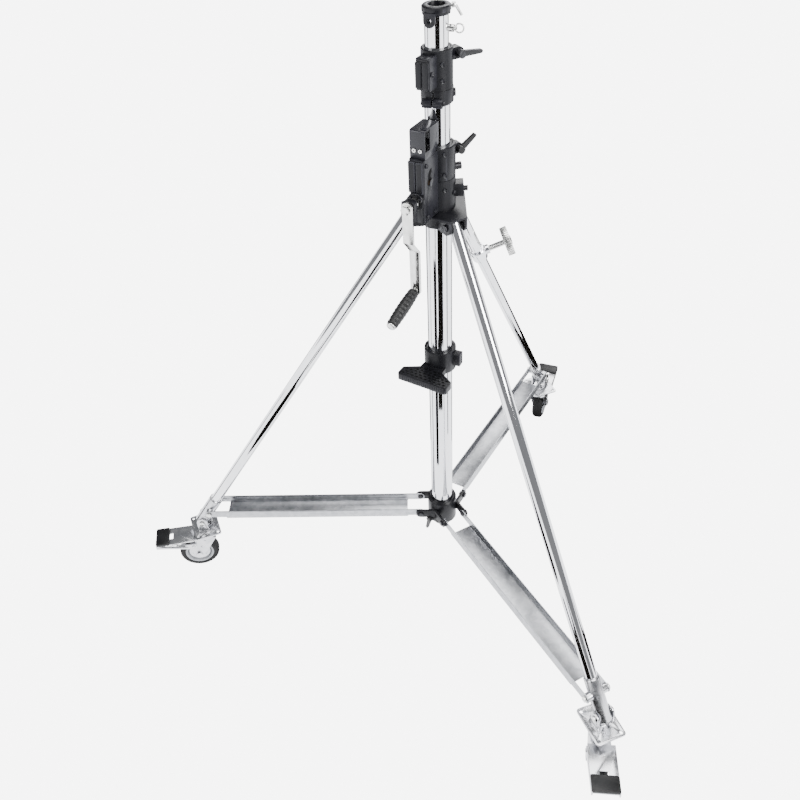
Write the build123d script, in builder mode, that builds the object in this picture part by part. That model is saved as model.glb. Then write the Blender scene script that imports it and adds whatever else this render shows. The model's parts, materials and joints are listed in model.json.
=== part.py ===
from build123d import *
import os
from math import asin, atan2, cos, degrees, hypot, radians, sin, sqrt

# Wind-up lighting stand: a three-section column with a crank winch, three folding legs on
# channel braces, braked casters and a foot step.
# Frame: millimetres, +Z up, origin on the floor under the column's axis.

# ---- driving dimensions -------------------------------------------------------------------
FREE_GAP = 0.3          # between faces of different bodies
BEARING_GAP = 0.05      # radial clearance of a pin or shaft in its hole
WALL = 2.0              # wall of the column's tubes

LEG_AZIMUTHS = {"a": 180.0, "b": 300.0, "c": 60.0}
CASTER_AZIMUTHS = {"a": 190.0, "b": 266.0, "c": 70.0}
WINCH_AZIMUTH = 240.0
CLAMP_AZIMUTH = 30.0
PLATE_AZIMUTH = 22.0

TUBE_GAP = 0.5          # between one tube's bore and the tube inside it
OUTER_TUBE_R = 25.0
MIDDLE_TUBE_R = OUTER_TUBE_R - WALL - TUBE_GAP
TOP_TUBE_R = MIDDLE_TUBE_R - WALL - TUBE_GAP
OUTER_TUBE_LOW = 165.0
OUTER_TUBE_HIGH = 1110.0
MIDDLE_TUBE_LOW = 195.0
MIDDLE_TUBE_HIGH = 1295.0
TOP_TUBE_LOW = 215.0
TOP_TUBE_HIGH = 1364.0

SPIGOT_BORE_R = 14.3
SPIGOT_BORE_DEPTH = 65.0
SOCKET_DISC_R = TOP_TUBE_R + 4.0
SOCKET_DISC_T = 9.0

HOUSING_R = OUTER_TUBE_R + 6.5
HOUSING_HIGH = 1140.0
HOUSING_SPLIT = 1078.0
BRACKET_PLATE_Z = 1014.0
BRACKET_PLATE_T = 4.0
BRACKET_LOW = 984.0

CASE_HALF_WIDTH = 15.0
CASE_DEPTH = 53.0        # outer tube's wall to the case's front
CASE_REACH = OUTER_TUBE_R + CASE_DEPTH
CASE_LOW = 1020.0
CASE_WALL = 3.0
CRANK_Z = 1063.0
SHAFT_R = 6.0
WORM_R = 9.0
WHEEL_R = 19.0
DRUM_R = 10.2
DRUM_OFFSET = 30.0       # outer tube's wall to the drum's axis
DRUM_X = OUTER_TUBE_R + DRUM_OFFSET
CABLE_R = 1.5
CABLE_HOLE_X = OUTER_TUBE_R + 3.3

COVER_REACH = CASE_REACH - 6.0
COVER_HIGH = 1190.0
COVER_WALL = 1.6

CRANK_DROP = 177.0
CRANK_OFFSET = 20.0
CRANK_BAR_T = 6.0
CRANK_BAR_W = 20.0
GRIP_LENGTH = 87.0
GRIP_R = 12.5
GRIP_TILT = 16.0
SPINDLE_R = 4.0

COLLAR_R = MIDDLE_TUBE_R + 4.5
COLLAR_LOW = 1213.0
COLLAR_HIGH = 1307.0
CABLE_BOX_REACH = 50.0
CABLE_BOX_HALF = 13.0

LEG_PIVOT_R = 55.0
LEG_PIVOT_Z = 1000.0
BRACE_PIVOT_Z = 204.0
HUB_PIVOT_R = 52.0
FOOT_PIVOT_R = 574.0
LEG_R = 12.5
LEG_WALL = 1.5
LEVEL_TUBE_R = 11.0
LEVEL_SLEEVE_LENGTH = 236.0
LEVEL_TRAVEL = 120.0
PIVOT_BOLT_R = 4.0
EAR_T = 5.0

SOCKET_R = 16.0
SOCKET_ABOVE_PIVOT = 36.0
SOCKET_PAST_FOOT = 12.0
FOOT_DROP = 47.7        # along the leg, from the brace pivot to the foot pivot

BRACE_HALF_WIDTH = 26.5
BRACE_SHEET = 2.0
BRACE_TIP_R = 10.0
BRACE_DEPTH = 13.5      # pivot line down to the web's outer face
WEB_CUT_HUB = 32.0
WEB_CUT_FOOT = 44.0

HUB_R = OUTER_TUBE_R + 9.0
HUB_LOW = 168.0
HUB_HIGH = 238.0
HUB_EAR_T = 6.0

STEP_Z = 655.0
STEP_T = 15.0
STEP_REACH = 84.0
STEP_HALF_WIDTH = 57.0

PLATE_TOP = 135.0
PLATE_T = 4.0
PLATE_SIDE = 66.0
PLATE_LENGTH = 82.0
PLATE_HOLE_INSET = 8.0
PLATE_HOLES_ACROSS = PLATE_SIDE - 2 * PLATE_HOLE_INSET
PLATE_HOLES_ALONG = PLATE_LENGTH - 2 * PLATE_HOLE_INSET
PLATE_HOLE_R = 3.3
KINGPIN_R = 6.0

WHEEL_RADIUS = 50.0
TYRE_WIDTH = 28.0
TYRE_T = 14.0
RIM_R = WHEEL_RADIUS - TYRE_T
TREAD_FILLET = min(6.0, 0.45 * TYRE_T)
CASTER_TRAIL = 30.0
AXLE_R = 6.0
FORK_INNER = 17.0
FORK_T = 3.0
FORK_CROWN_Z = 104.0
PEDAL_PIVOT_X = 38.0
PEDAL_PIVOT_Z = 90.0
PEDAL_REACH = 130.0
PEDAL_INNER = 25.0
PEDAL_T = 2.5

# ---- worked-out places --------------------------------------------------------------------
UP = (Align.CENTER, Align.CENTER, Align.MIN)
RUN = (LEG_PIVOT_R - FOOT_PIVOT_R, LEG_PIVOT_Z - BRACE_PIVOT_Z)
LEG_SPAN = hypot(*RUN)                                  # leg pivot to brace pivot
LEG_ANGLE = degrees(atan2(-RUN[0], RUN[1]))             # from the vertical
FOOT_SPAN = LEG_SPAN + FOOT_DROP
FOOT_X = LEG_PIVOT_R + FOOT_SPAN * sin(radians(LEG_ANGLE))
FOOT_Z = LEG_PIVOT_Z - FOOT_SPAN * cos(radians(LEG_ANGLE))
FLANGE_INNER = BRACE_HALF_WIDTH - BRACE_SHEET
HUB_EAR_INNER = BRACE_HALF_WIDTH + FREE_GAP
LEG_EAR_INNER = LEG_R + FREE_GAP + 0.5
FOOT_EAR_INNER = SOCKET_R + 1.0
FOOT_EAR_T = 3.0
HEAD_T = 4.0
HEAD_R = 7.0
DRUM_Z = CRANK_Z + WORM_R + WHEEL_R + 0.4
CABLE_FRONT_X = DRUM_X + DRUM_R + FREE_GAP + CABLE_R
PULLEY_PATH_R = (CABLE_FRONT_X - CABLE_HOLE_X) / 2
PULLEY_X = (CABLE_FRONT_X + CABLE_HOLE_X) / 2
PULLEY_Z = COVER_HIGH - COVER_WALL - PULLEY_PATH_R - CABLE_R - 4.0
LEG_AXIS = Plane(
    origin=(LEG_PIVOT_R, 0, LEG_PIVOT_Z),
    x_dir=(cos(radians(LEG_ANGLE)), 0, sin(radians(LEG_ANGLE))),
    z_dir=(sin(radians(LEG_ANGLE)), 0, -cos(radians(LEG_ANGLE))),
)

os.makedirs("parts", exist_ok=True)


def at(azimuth, radius, height, side=0.0):
    """Place at a radius along an azimuth, its X pointing outwards."""
    return Location((0, 0, height), (0, 0, azimuth)) * Location((radius, side, 0))


def save(name, *pieces, azimuth=0.0):
    """Turn pieces about the column and write them as one node."""
    turned = [piece.rotate(Axis.Z, azimuth) for piece in pieces]
    solids = [solid for piece in turned for solid in piece.solids()]
    node = Compound(label=name, children=solids) if len(solids) > 1 else solids[0]
    node.label = name
    export_step(node, f"parts/{name}.step")


def tube(outer_r, inner_r, low, high):
    """Plain round tube on the column's axis."""
    with BuildPart() as ring:
        with BuildSketch(Plane.XY.offset(low)):
            Circle(outer_r)
            Circle(inner_r, mode=Mode.SUBTRACT)
        extrude(amount=high - low)
    return ring.part


def cross_pin(x, z, radius, y_from, y_to):
    """Pin across the local frame, parallel to Y."""
    with BuildPart() as pin:
        with BuildSketch(Plane.XZ.offset(-y_to)):
            with Locations((x, z)):
                Circle(radius)
        extrude(amount=y_to - y_from)
    return pin.part


def headed_pin(x, z, radius, half_length, head_r=HEAD_R):
    """Cross bolt with a head and a nut outside plus and minus half_length."""
    with BuildPart() as bolt:
        add(cross_pin(x, z, radius, -half_length - HEAD_T, half_length + HEAD_T))
        for low in (-half_length - HEAD_T, half_length):
            with BuildSketch(Plane.XZ.offset(-low - HEAD_T)):
                with Locations((x, z)):
                    RegularPolygon(head_r, 6)
            extrude(amount=HEAD_T)
    return bolt.part


def lever(arm_length, hub_r=8.0, hub_t=12.0):
    """Clamp lever: hub along +Z, tapered arm along +X."""
    root_half = hub_r - 1.5
    tip_half = root_half - 2.0
    with BuildPart() as handle:
        Cylinder(hub_r, hub_t, align=UP)
        with BuildSketch(Plane.XY.offset(hub_t / 4)):
            with BuildLine():
                Polyline(
                    (0, root_half), (arm_length, tip_half), (arm_length, -tip_half), (0, -root_half),
                    close=True,
                )
            make_face()
            with Locations((arm_length, 0)):
                Circle(tip_half)
        extrude(amount=hub_t / 2)
    return handle.part


# ---- column -------------------------------------------------------------------------------
save("outer_tube", tube(OUTER_TUBE_R, OUTER_TUBE_R - WALL, OUTER_TUBE_LOW, OUTER_TUBE_HIGH))
save("lower_bush", tube(OUTER_TUBE_R, MIDDLE_TUBE_R + BEARING_GAP, OUTER_TUBE_HIGH, HOUSING_HIGH))
save("middle_tube", tube(MIDDLE_TUBE_R, MIDDLE_TUBE_R - WALL, MIDDLE_TUBE_LOW, MIDDLE_TUBE_HIGH))
save("upper_bush", tube(MIDDLE_TUBE_R, TOP_TUBE_R + BEARING_GAP, MIDDLE_TUBE_HIGH, COLLAR_HIGH))

CAP_T = 15.0
with BuildPart() as tube_end_cap:
    with BuildSketch(Plane.XY.offset(OUTER_TUBE_LOW - CAP_T)):
        Circle(OUTER_TUBE_R)
    extrude(amount=CAP_T)
    fillet(tube_end_cap.edges().filter_by(GeomType.CIRCLE).sort_by(Axis.Z)[0], CAP_T - 3.0)
save("tube_end_cap", tube_end_cap.part)

# The clamp lug stands on the collar's right side, with the lever's screw through it.
LUG_HALF = 8.0
LUG_SCREW_R = HOUSING_R + 6.5
WINCH_LEVER_Z = 1122.0
COLLAR_LEVER_Z = 1290.0
LUG_HALF_HEIGHT = 10.0
BOSS_R = 7.0
LEVER_HUB_R = 7.0


def clamp_lug(height, body_r):
    """Lug for a clamp screw, rooted in a round body and rounded outside."""
    with BuildPart() as lug:
        with BuildSketch(Plane.XZ.offset(-LUG_HALF)):
            with Locations(((body_r + LUG_SCREW_R) / 2 - 2.0, height)):
                Rectangle(LUG_SCREW_R - body_r + 4.0, 2 * LUG_HALF_HEIGHT)
            with Locations((LUG_SCREW_R, height)):
                Circle(LUG_HALF_HEIGHT)
        extrude(amount=2 * LUG_HALF)
        screw_hole = cross_pin(LUG_SCREW_R, height, SPINDLE_R + BEARING_GAP, -LUG_HALF, LUG_HALF)
        add(screw_hole, mode=Mode.SUBTRACT)
    return lug.part.rotate(Axis.Z, CLAMP_AZIMUTH)


with BuildPart() as winch_housing:
    with BuildSketch(Plane.XY.offset(HOUSING_SPLIT + 1.0)):
        Circle(HOUSING_R)
    extrude(amount=HOUSING_HIGH - HOUSING_SPLIT - 1.0)
    chamfer(winch_housing.edges().filter_by(GeomType.CIRCLE).sort_by(Axis.Z)[-1], 1.5)
    add(clamp_lug(WINCH_LEVER_Z, HOUSING_R))
    with Locations(at(75.0, HOUSING_R - 2.0, HOUSING_HIGH - 11.0)):
        Cylinder(BOSS_R, 12.0, align=UP, rotation=(0, 90, 0))
    with Locations(at(15.0, HOUSING_R - 2.0, HOUSING_SPLIT + 12.0)):
        Cylinder(BOSS_R, 13.0, align=UP, rotation=(0, 90, 0))
    with BuildSketch(Plane.XY.offset(HOUSING_SPLIT)):
        Circle(OUTER_TUBE_R)
    extrude(amount=HOUSING_HIGH - HOUSING_SPLIT, mode=Mode.SUBTRACT)
    with Locations(at(WINCH_AZIMUTH, CABLE_HOLE_X, HOUSING_HIGH - 18.0)):
        Cylinder(CABLE_R + FREE_GAP, 18.0, align=UP, mode=Mode.SUBTRACT)
save("winch_housing", winch_housing.part)

with BuildPart() as leg_ear_pair:
    with BuildSketch(Plane.XZ.offset(-LEG_EAR_INNER - EAR_T)):
        with BuildLine():
            Polyline(
                (HOUSING_R - 4, BRACKET_PLATE_Z), (LEG_PIVOT_R + 14, BRACKET_PLATE_Z),
                (LEG_PIVOT_R + 14, LEG_PIVOT_Z), (LEG_PIVOT_R, BRACKET_LOW),
                (HOUSING_R - 4, BRACKET_LOW), close=True,
            )
        make_face()
        with Locations((LEG_PIVOT_R, LEG_PIVOT_Z)):
            Circle(14.0)
            Circle(PIVOT_BOLT_R, mode=Mode.SUBTRACT)
    extrude(amount=EAR_T)
    mirror(about=Plane.XZ)

PLATE_TIP_R = LEG_PIVOT_R + 14
PLATE_TIP_HALF = LEG_EAR_INNER + EAR_T
BRACKET_TIPS = []
for tip_azimuth in sorted(LEG_AZIMUTHS.values()):
    for tip_side in (-PLATE_TIP_HALF, PLATE_TIP_HALF):
        tip = at(tip_azimuth, PLATE_TIP_R, 0.0, tip_side).position
        BRACKET_TIPS.append((tip.X, tip.Y))
with BuildPart() as leg_bracket:
    with BuildSketch(Plane.XY.offset(BRACKET_LOW)):
        Circle(HOUSING_R)
    extrude(amount=HOUSING_SPLIT - BRACKET_LOW)
    with BuildSketch(Plane.XY.offset(BRACKET_PLATE_Z)):
        with BuildLine():
            Polyline(*BRACKET_TIPS, close=True)
        make_face()
    extrude(amount=BRACKET_PLATE_T)
    with PolarLocations(0, 3, start_angle=LEG_AZIMUTHS["c"]):
        add(leg_ear_pair.part)
    with Locations(at(0.0, HOUSING_R + 5.0, HOUSING_SPLIT - 26.0)):
        Box(18.0, 24.0, 24.0)
    with Locations(at(0.0, HOUSING_R + 12.0, HOUSING_SPLIT - 28.0)):
        Cylinder(5.0, 10.0, align=UP, rotation=(0, 90, 0))
    with BuildSketch(Plane.XY.offset(BRACKET_LOW)):
        Circle(OUTER_TUBE_R)
    extrude(amount=HOUSING_SPLIT - BRACKET_LOW, mode=Mode.SUBTRACT)
save("leg_bracket", leg_bracket.part)

# Short bolts that hold the ears only: the leg's end turns free between them.
leg_bolts = []
for azimuth in LEG_AZIMUTHS.values():
    for side in (-1, 1):
        with BuildPart() as ear_bolt:
            with BuildSketch(Plane.XZ.offset(-LEG_EAR_INNER)):
                with Locations((LEG_PIVOT_R, LEG_PIVOT_Z)):
                    Circle(PIVOT_BOLT_R)
            extrude(amount=-EAR_T)
            with BuildSketch(Plane.XZ.offset(-LEG_EAR_INNER - EAR_T)):
                with Locations((LEG_PIVOT_R, LEG_PIVOT_Z)):
                    RegularPolygon(HEAD_R, 6)
            extrude(amount=-HEAD_T)
        piece = ear_bolt.part if side > 0 else ear_bolt.part.mirror(Plane.XZ)
        leg_bolts.append(piece.rotate(Axis.Z, azimuth))

# ---- winch: all of it is drawn along +X and turned to the winch's azimuth -------------------
with BuildPart() as gearbox_case:
    with BuildSketch(Plane.XY.offset(CASE_LOW)):
        with Locations(((HOUSING_R - 6 + CASE_REACH) / 2, CASE_HALF_WIDTH / 2)):
            Rectangle(CASE_REACH - HOUSING_R + 6, CASE_HALF_WIDTH)
    extrude(amount=HOUSING_HIGH - 1.0 - CASE_LOW)
    outer_corner = gearbox_case.edges().filter_by(Axis.Z).sort_by(lambda e: e.center().X + e.center().Y)[-1]
    fillet(outer_corner, 4.0)
    with BuildSketch(Plane.XY.offset(CASE_LOW)):
        Circle(HOUSING_R)
    extrude(amount=HOUSING_HIGH - CASE_LOW, mode=Mode.SUBTRACT)
    with BuildSketch(Plane.XY.offset(CASE_LOW + CASE_WALL + 1)):
        with Locations(((HOUSING_R + 2.5 + CASE_REACH - CASE_WALL) / 2, (CASE_HALF_WIDTH - CASE_WALL) / 2)):
            Rectangle(CASE_REACH - CASE_WALL - HOUSING_R - 2.5, CASE_HALF_WIDTH - CASE_WALL)
    extrude(amount=HOUSING_HIGH - 1.0 - CASE_WALL - CASE_LOW - CASE_WALL - 1, mode=Mode.SUBTRACT)
    with Locations((CASE_REACH - 10.0, 0, CRANK_Z)):
        Cylinder(SHAFT_R + BEARING_GAP, 12.0, align=UP, rotation=(0, 90, 0), mode=Mode.SUBTRACT)
    with Locations((CABLE_FRONT_X, 0, HOUSING_HIGH - 8.0)):
        Cylinder(CABLE_R + FREE_GAP, 12.0, align=UP, mode=Mode.SUBTRACT)
    add(cross_pin(DRUM_X, DRUM_Z, SHAFT_R - 1 + BEARING_GAP, 0, CASE_HALF_WIDTH + 1), mode=Mode.SUBTRACT)
save("gearbox_case_left", gearbox_case.part.mirror(Plane.XZ), azimuth=WINCH_AZIMUTH)
save("gearbox_case_right", gearbox_case.part, azimuth=WINCH_AZIMUTH)

with BuildPart() as brake_flange:
    with BuildSketch(Plane.YZ.offset(CASE_REACH)):
        with Locations((0, CRANK_Z)):
            Circle(17.0)
            Circle(SHAFT_R + BEARING_GAP, mode=Mode.SUBTRACT)
    extrude(amount=7.0)
    front_edges = brake_flange.edges().filter_by(GeomType.CIRCLE).sort_by(Axis.X)[-2:]
    chamfer(front_edges.sort_by(SortBy.RADIUS)[-1], 1.5)
save("brake_flange", brake_flange.part, azimuth=WINCH_AZIMUTH)

with BuildPart() as worm_wheel:
    add(cross_pin(DRUM_X, DRUM_Z, SHAFT_R - 1, -CASE_HALF_WIDTH - 1.5, CASE_HALF_WIDTH + 1.5))
    add(cross_pin(DRUM_X, DRUM_Z, DRUM_R, -10.0, 4.0))
    add(cross_pin(DRUM_X, DRUM_Z, 16.0, -11.0, -9.5))
    add(cross_pin(DRUM_X, DRUM_Z, WHEEL_R, 3.0, 11.0))
save("worm_wheel", worm_wheel.part, azimuth=WINCH_AZIMUTH)

with BuildPart() as lift_cable:
    with BuildLine():
        Line((CABLE_FRONT_X, 0, DRUM_Z), (CABLE_FRONT_X, 0, PULLEY_Z))
        ThreePointArc(
            (CABLE_FRONT_X, 0, PULLEY_Z), (PULLEY_X, 0, PULLEY_Z + PULLEY_PATH_R),
            (CABLE_HOLE_X, 0, PULLEY_Z),
        )
        Line((CABLE_HOLE_X, 0, PULLEY_Z), (CABLE_HOLE_X, 0, HOUSING_HIGH - 16.0))
    with BuildSketch(Plane(origin=(CABLE_FRONT_X, 0, DRUM_Z), z_dir=(0, 0, 1))):
        Circle(CABLE_R)
    sweep()
save("lift_cable", lift_cable.part, azimuth=WINCH_AZIMUTH)

PULLEY_HALF = 4.0
PULLEY_RIM_R = PULLEY_PATH_R + 1.5
with BuildPart() as top_pulley:
    with BuildSketch(Plane.XY):
        with BuildLine():
            Polyline(
                (SPINDLE_R + BEARING_GAP, -PULLEY_HALF), (PULLEY_RIM_R, -PULLEY_HALF),
                (PULLEY_PATH_R - CABLE_R - FREE_GAP, -1.0), (PULLEY_PATH_R - CABLE_R - FREE_GAP, 1.0),
                (PULLEY_RIM_R, PULLEY_HALF), (SPINDLE_R + BEARING_GAP, PULLEY_HALF), close=True,
            )
        make_face()
    revolve(axis=Axis.Y)
save("top_pulley", top_pulley.part.moved(Location((PULLEY_X, 0, PULLEY_Z))), azimuth=WINCH_AZIMUTH)

COVER_ROOT_X = OUTER_TUBE_R + 11.0
WINDOW_FROM = PULLEY_X + SPINDLE_R + 3.0
WINDOW_TO = COVER_REACH - COVER_WALL
WINDOW_LOW = HOUSING_HIGH + 12.0
WINDOW_HIGH = COVER_HIGH - COVER_WALL
with BuildPart() as pulley_cover:
    with BuildSketch(Plane.XZ.offset(-CASE_HALF_WIDTH)):
        with BuildLine():
            Polyline(
                (COVER_ROOT_X, HOUSING_HIGH - 1.0), (COVER_REACH, HOUSING_HIGH - 1.0),
                (COVER_REACH, COVER_HIGH), (MIDDLE_TUBE_R + 1.5, COVER_HIGH),
                (MIDDLE_TUBE_R + 1.5, HOUSING_HIGH + 12.0), close=True,
            )
        make_face()
    extrude(amount=2 * CASE_HALF_WIDTH)
    fillet(pulley_cover.edges().filter_by(Axis.Y).sort_by(lambda e: e.center().X + e.center().Z)[-1], 4.0)
    with BuildSketch(Plane.XZ.offset(-CASE_HALF_WIDTH + COVER_WALL)):
        with BuildLine():
            Polyline(
                (0, HOUSING_HIGH - 5), (COVER_REACH - COVER_WALL, HOUSING_HIGH - 5),
                (COVER_REACH - COVER_WALL, COVER_HIGH - COVER_WALL), (0, COVER_HIGH - COVER_WALL),
                close=True,
            )
        make_face()
    extrude(amount=2 * (CASE_HALF_WIDTH - COVER_WALL), mode=Mode.SUBTRACT)
    with BuildSketch(Plane.XZ.offset(-CASE_HALF_WIDTH)):
        with Locations(((WINDOW_FROM + WINDOW_TO) / 2, (WINDOW_LOW + WINDOW_HIGH) / 2)):
            Rectangle(WINDOW_TO - WINDOW_FROM, WINDOW_HIGH - WINDOW_LOW)
    extrude(amount=2 * CASE_HALF_WIDTH, mode=Mode.SUBTRACT)
    add(cross_pin(PULLEY_X, PULLEY_Z, SPINDLE_R, -CASE_HALF_WIDTH, CASE_HALF_WIDTH))
save("pulley_cover", pulley_cover.part, azimuth=WINCH_AZIMUTH)

COVER_SCREW_Z = 1154.0
screws = []
for side in (-6.0, 6.0):
    with BuildPart() as cover_screw:
        with BuildSketch(Plane.YZ.offset(COVER_REACH)):
            with Locations((side, COVER_SCREW_Z)):
                Circle(3.5)
                RegularPolygon(1.6, 6, mode=Mode.SUBTRACT)
        extrude(amount=2.0)
    screws.append(cover_screw.part.rotate(Axis.Z, WINCH_AZIMUTH))
save("housing_fasteners", *leg_bolts, *screws)

SHAFT_END_X = CASE_REACH + 43.0
KNUCKLE_X = CASE_REACH + 18.0
BAR_X = CASE_REACH + 30.0
with BuildPart() as crank_shaft:
    with Locations((40.0, 0, CRANK_Z)):
        Cylinder(SHAFT_R, BAR_X + CRANK_BAR_T - 40.0, align=UP, rotation=(0, 90, 0))
    with Locations((44.0, 0, CRANK_Z)):
        Cylinder(WORM_R, 22.0, align=UP, rotation=(0, 90, 0))
    with Locations((CASE_REACH + 7.0 + FREE_GAP, 0, CRANK_Z)):
        Cylinder(10.0, KNUCKLE_X - CASE_REACH - 7.0 - FREE_GAP, align=UP, rotation=(0, 90, 0))
    with BuildSketch(Plane.YZ.offset(BAR_X + CRANK_BAR_T)):
        with Locations((0, CRANK_Z)):
            RegularPolygon(9.0, 6)
    extrude(amount=SHAFT_END_X - BAR_X - CRANK_BAR_T)
save("crank_shaft", crank_shaft.part, azimuth=WINCH_AZIMUTH)

with BuildPart() as crank_knuckle:
    with BuildSketch(Plane.YZ.offset(KNUCKLE_X)):
        with Locations((0, CRANK_Z)):
            RectangleRounded(24.0, 24.0, 5.0)
            Circle(SHAFT_R, mode=Mode.SUBTRACT)
    extrude(amount=BAR_X - KNUCKLE_X)
save("crank_knuckle", crank_knuckle.part, azimuth=WINCH_AZIMUTH)

BEND_TOP_Z = CRANK_Z - 70.0
BEND_LOW_Z = BEND_TOP_Z - 26.0
ARM_END_Z = CRANK_Z - CRANK_DROP
GRIP_X = BAR_X - CRANK_OFFSET + CRANK_BAR_T / 2
with BuildPart() as crank_arm:
    with BuildSketch(Plane.XZ.offset(-CRANK_BAR_W / 2)):
        with BuildLine():
            Polyline(
                (BAR_X, CRANK_Z + 12), (BAR_X, BEND_TOP_Z), (BAR_X - CRANK_OFFSET, BEND_LOW_Z),
                (BAR_X - CRANK_OFFSET, ARM_END_Z - 12),
                (BAR_X - CRANK_OFFSET + CRANK_BAR_T, ARM_END_Z - 12),
                (BAR_X - CRANK_OFFSET + CRANK_BAR_T, BEND_LOW_Z + 1.5),
                (BAR_X + CRANK_BAR_T, BEND_TOP_Z + 1.5),
                (BAR_X + CRANK_BAR_T, CRANK_Z + 12), close=True,
            )
        make_face()
    extrude(amount=CRANK_BAR_W)
    fillet(crank_arm.edges().filter_by(Axis.X).group_by(Axis.Z)[0], CRANK_BAR_W / 2 - 1.0)
    fillet(crank_arm.edges().filter_by(Axis.X).group_by(Axis.Z)[-1], CRANK_BAR_W / 2 - 1.0)
    with Locations((BAR_X - 1, 0, CRANK_Z)):
        Cylinder(SHAFT_R, CRANK_BAR_T + 2, align=UP, rotation=(0, 90, 0), mode=Mode.SUBTRACT)
    with Locations(Location((GRIP_X, 0, ARM_END_Z), (0, 90 + GRIP_TILT, 0))):
        Cylinder(SPINDLE_R, 40.0, mode=Mode.SUBTRACT)
save("crank_arm", crank_arm.part, azimuth=WINCH_AZIMUTH)

# The grip turns on a spindle that leans down and out from the arm's end.
GRIP_AXIS = Plane(
    origin=(GRIP_X, 0, ARM_END_Z),
    x_dir=(0, 1, 0),
    z_dir=(cos(radians(GRIP_TILT)), 0, -sin(radians(GRIP_TILT))),
)
GRIP_START = 8.0
with BuildPart() as grip_spindle:
    with BuildSketch(GRIP_AXIS.offset(-7.0)):
        Circle(SPINDLE_R)
    extrude(amount=7.0 + GRIP_START + GRIP_LENGTH + FREE_GAP)
    with BuildSketch(GRIP_AXIS.offset(GRIP_START + GRIP_LENGTH + FREE_GAP)):
        Circle(9.0)
    extrude(amount=4.0)
    chamfer(grip_spindle.edges().filter_by(GeomType.CIRCLE).sort_by(Axis.X)[-1], 1.5)
save("grip_spindle", grip_spindle.part, azimuth=WINCH_AZIMUTH)

with BuildPart() as crank_grip:
    with BuildSketch(GRIP_AXIS.offset(GRIP_START)):
        Circle(GRIP_R)
        Circle(SPINDLE_R + BEARING_GAP, mode=Mode.SUBTRACT)
    extrude(amount=GRIP_LENGTH)
    fillet(crank_grip.edges().filter_by(GeomType.CIRCLE).sort_by(SortBy.RADIUS)[-2:], 2.5)
save("crank_grip", crank_grip.part, azimuth=WINCH_AZIMUTH)

# ---- clamp levers: the screw runs across the lug, the arm points outwards -------------------


def screw_lever(azimuth, screw_r, side, height, lift, arm_length, screw_length):
    """Lever on a cross screw at a lug, its arm raised by lift degrees from outwards."""
    with BuildPart() as piece:
        add(lever(arm_length, hub_r=LEVER_HUB_R))
        with BuildSketch(Plane.XY):
            Circle(SPINDLE_R)
        extrude(amount=-screw_length)
    frame = Plane(
        origin=(screw_r, side, height),
        x_dir=(cos(radians(lift)), 0, sin(radians(lift))),
        z_dir=(0, -1, 0),
    )
    return piece.part.moved(frame.location).rotate(Axis.Z, azimuth)


SCREW_PAST = 2 * LUG_HALF + FREE_GAP + 3.0
LEVER_SIDE = -LUG_HALF - FREE_GAP
winch_lever = screw_lever(CLAMP_AZIMUTH, LUG_SCREW_R, LEVER_SIDE, WINCH_LEVER_Z, 35.0, 34.0, SCREW_PAST)
collar_lever = screw_lever(CLAMP_AZIMUTH, LUG_SCREW_R, LEVER_SIDE, COLLAR_LEVER_Z, -5.0, 38.0, SCREW_PAST)
save("winch_lock_lever", winch_lever)
save("collar_lock_lever", collar_lever)

# ---- middle section -------------------------------------------------------------------------
COLLAR_SEAM_Z = 1240.0
CLAMP_BARREL_R = 8.0
with BuildPart() as upper_collar:
    with BuildSketch(Plane.XY.offset(COLLAR_LOW)):
        Circle(COLLAR_R + 1.0)
    extrude(amount=COLLAR_SEAM_Z - COLLAR_LOW)
    with BuildSketch(Plane.XY.offset(COLLAR_SEAM_Z)):
        Circle(COLLAR_R)
    extrude(amount=COLLAR_HIGH - COLLAR_SEAM_Z)
    chamfer(upper_collar.edges().filter_by(GeomType.CIRCLE).sort_by(Axis.Z)[-1], 1.5)
    chamfer(upper_collar.edges().filter_by(GeomType.CIRCLE).sort_by(Axis.Z)[0], 3.0)
    add(clamp_lug(COLLAR_LEVER_Z, COLLAR_R))
    with Locations(at(WINCH_AZIMUTH + 14.0, COLLAR_R + 4.0, COLLAR_LOW + 9.0)):
        Cylinder(CLAMP_BARREL_R, 34.0, rotation=(90, 0, 0))
    with Locations(at(75.0, COLLAR_R - 3.0, COLLAR_HIGH - 10.0)):
        Cylinder(BOSS_R, 12.0, align=UP, rotation=(0, 90, 0))
    with Locations(at(5.0, COLLAR_R - 1.0, COLLAR_SEAM_Z - 12.0)):
        Cylinder(BOSS_R, 5.0, align=UP, rotation=(0, 90, 0))
    with BuildSketch(Plane.XY.offset(COLLAR_LOW)):
        Circle(MIDDLE_TUBE_R)
    extrude(amount=COLLAR_HIGH - COLLAR_LOW, mode=Mode.SUBTRACT)
    with Locations(at(WINCH_AZIMUTH + 14.0, COLLAR_R + 4.0, COLLAR_LOW)):
        Box(24.0, 3.0, 2 * (COLLAR_SEAM_Z - COLLAR_LOW), mode=Mode.SUBTRACT)
save("upper_collar", upper_collar.part)

CABLE_BOX_LOW = COLLAR_SEAM_Z + 8.0
CABLE_BOX_HIGH = COLLAR_HIGH - 6.0
with BuildPart() as cable_box:
    with BuildSketch(Plane.XY.offset(CABLE_BOX_LOW)):
        with Locations(((COLLAR_R - 6 + CABLE_BOX_REACH) / 2, 0)):
            Rectangle(CABLE_BOX_REACH - COLLAR_R + 6, 2 * CABLE_BOX_HALF)
    extrude(amount=CABLE_BOX_HIGH - CABLE_BOX_LOW)
    fillet(cable_box.faces().sort_by(Axis.X)[-1].edges(), 4.0)
    with BuildSketch(Plane.XY.offset(CABLE_BOX_LOW)):
        Circle(COLLAR_R)
    extrude(amount=CABLE_BOX_HIGH - CABLE_BOX_LOW, mode=Mode.SUBTRACT)
save("cable_box", cable_box.part, azimuth=WINCH_AZIMUTH)

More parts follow.
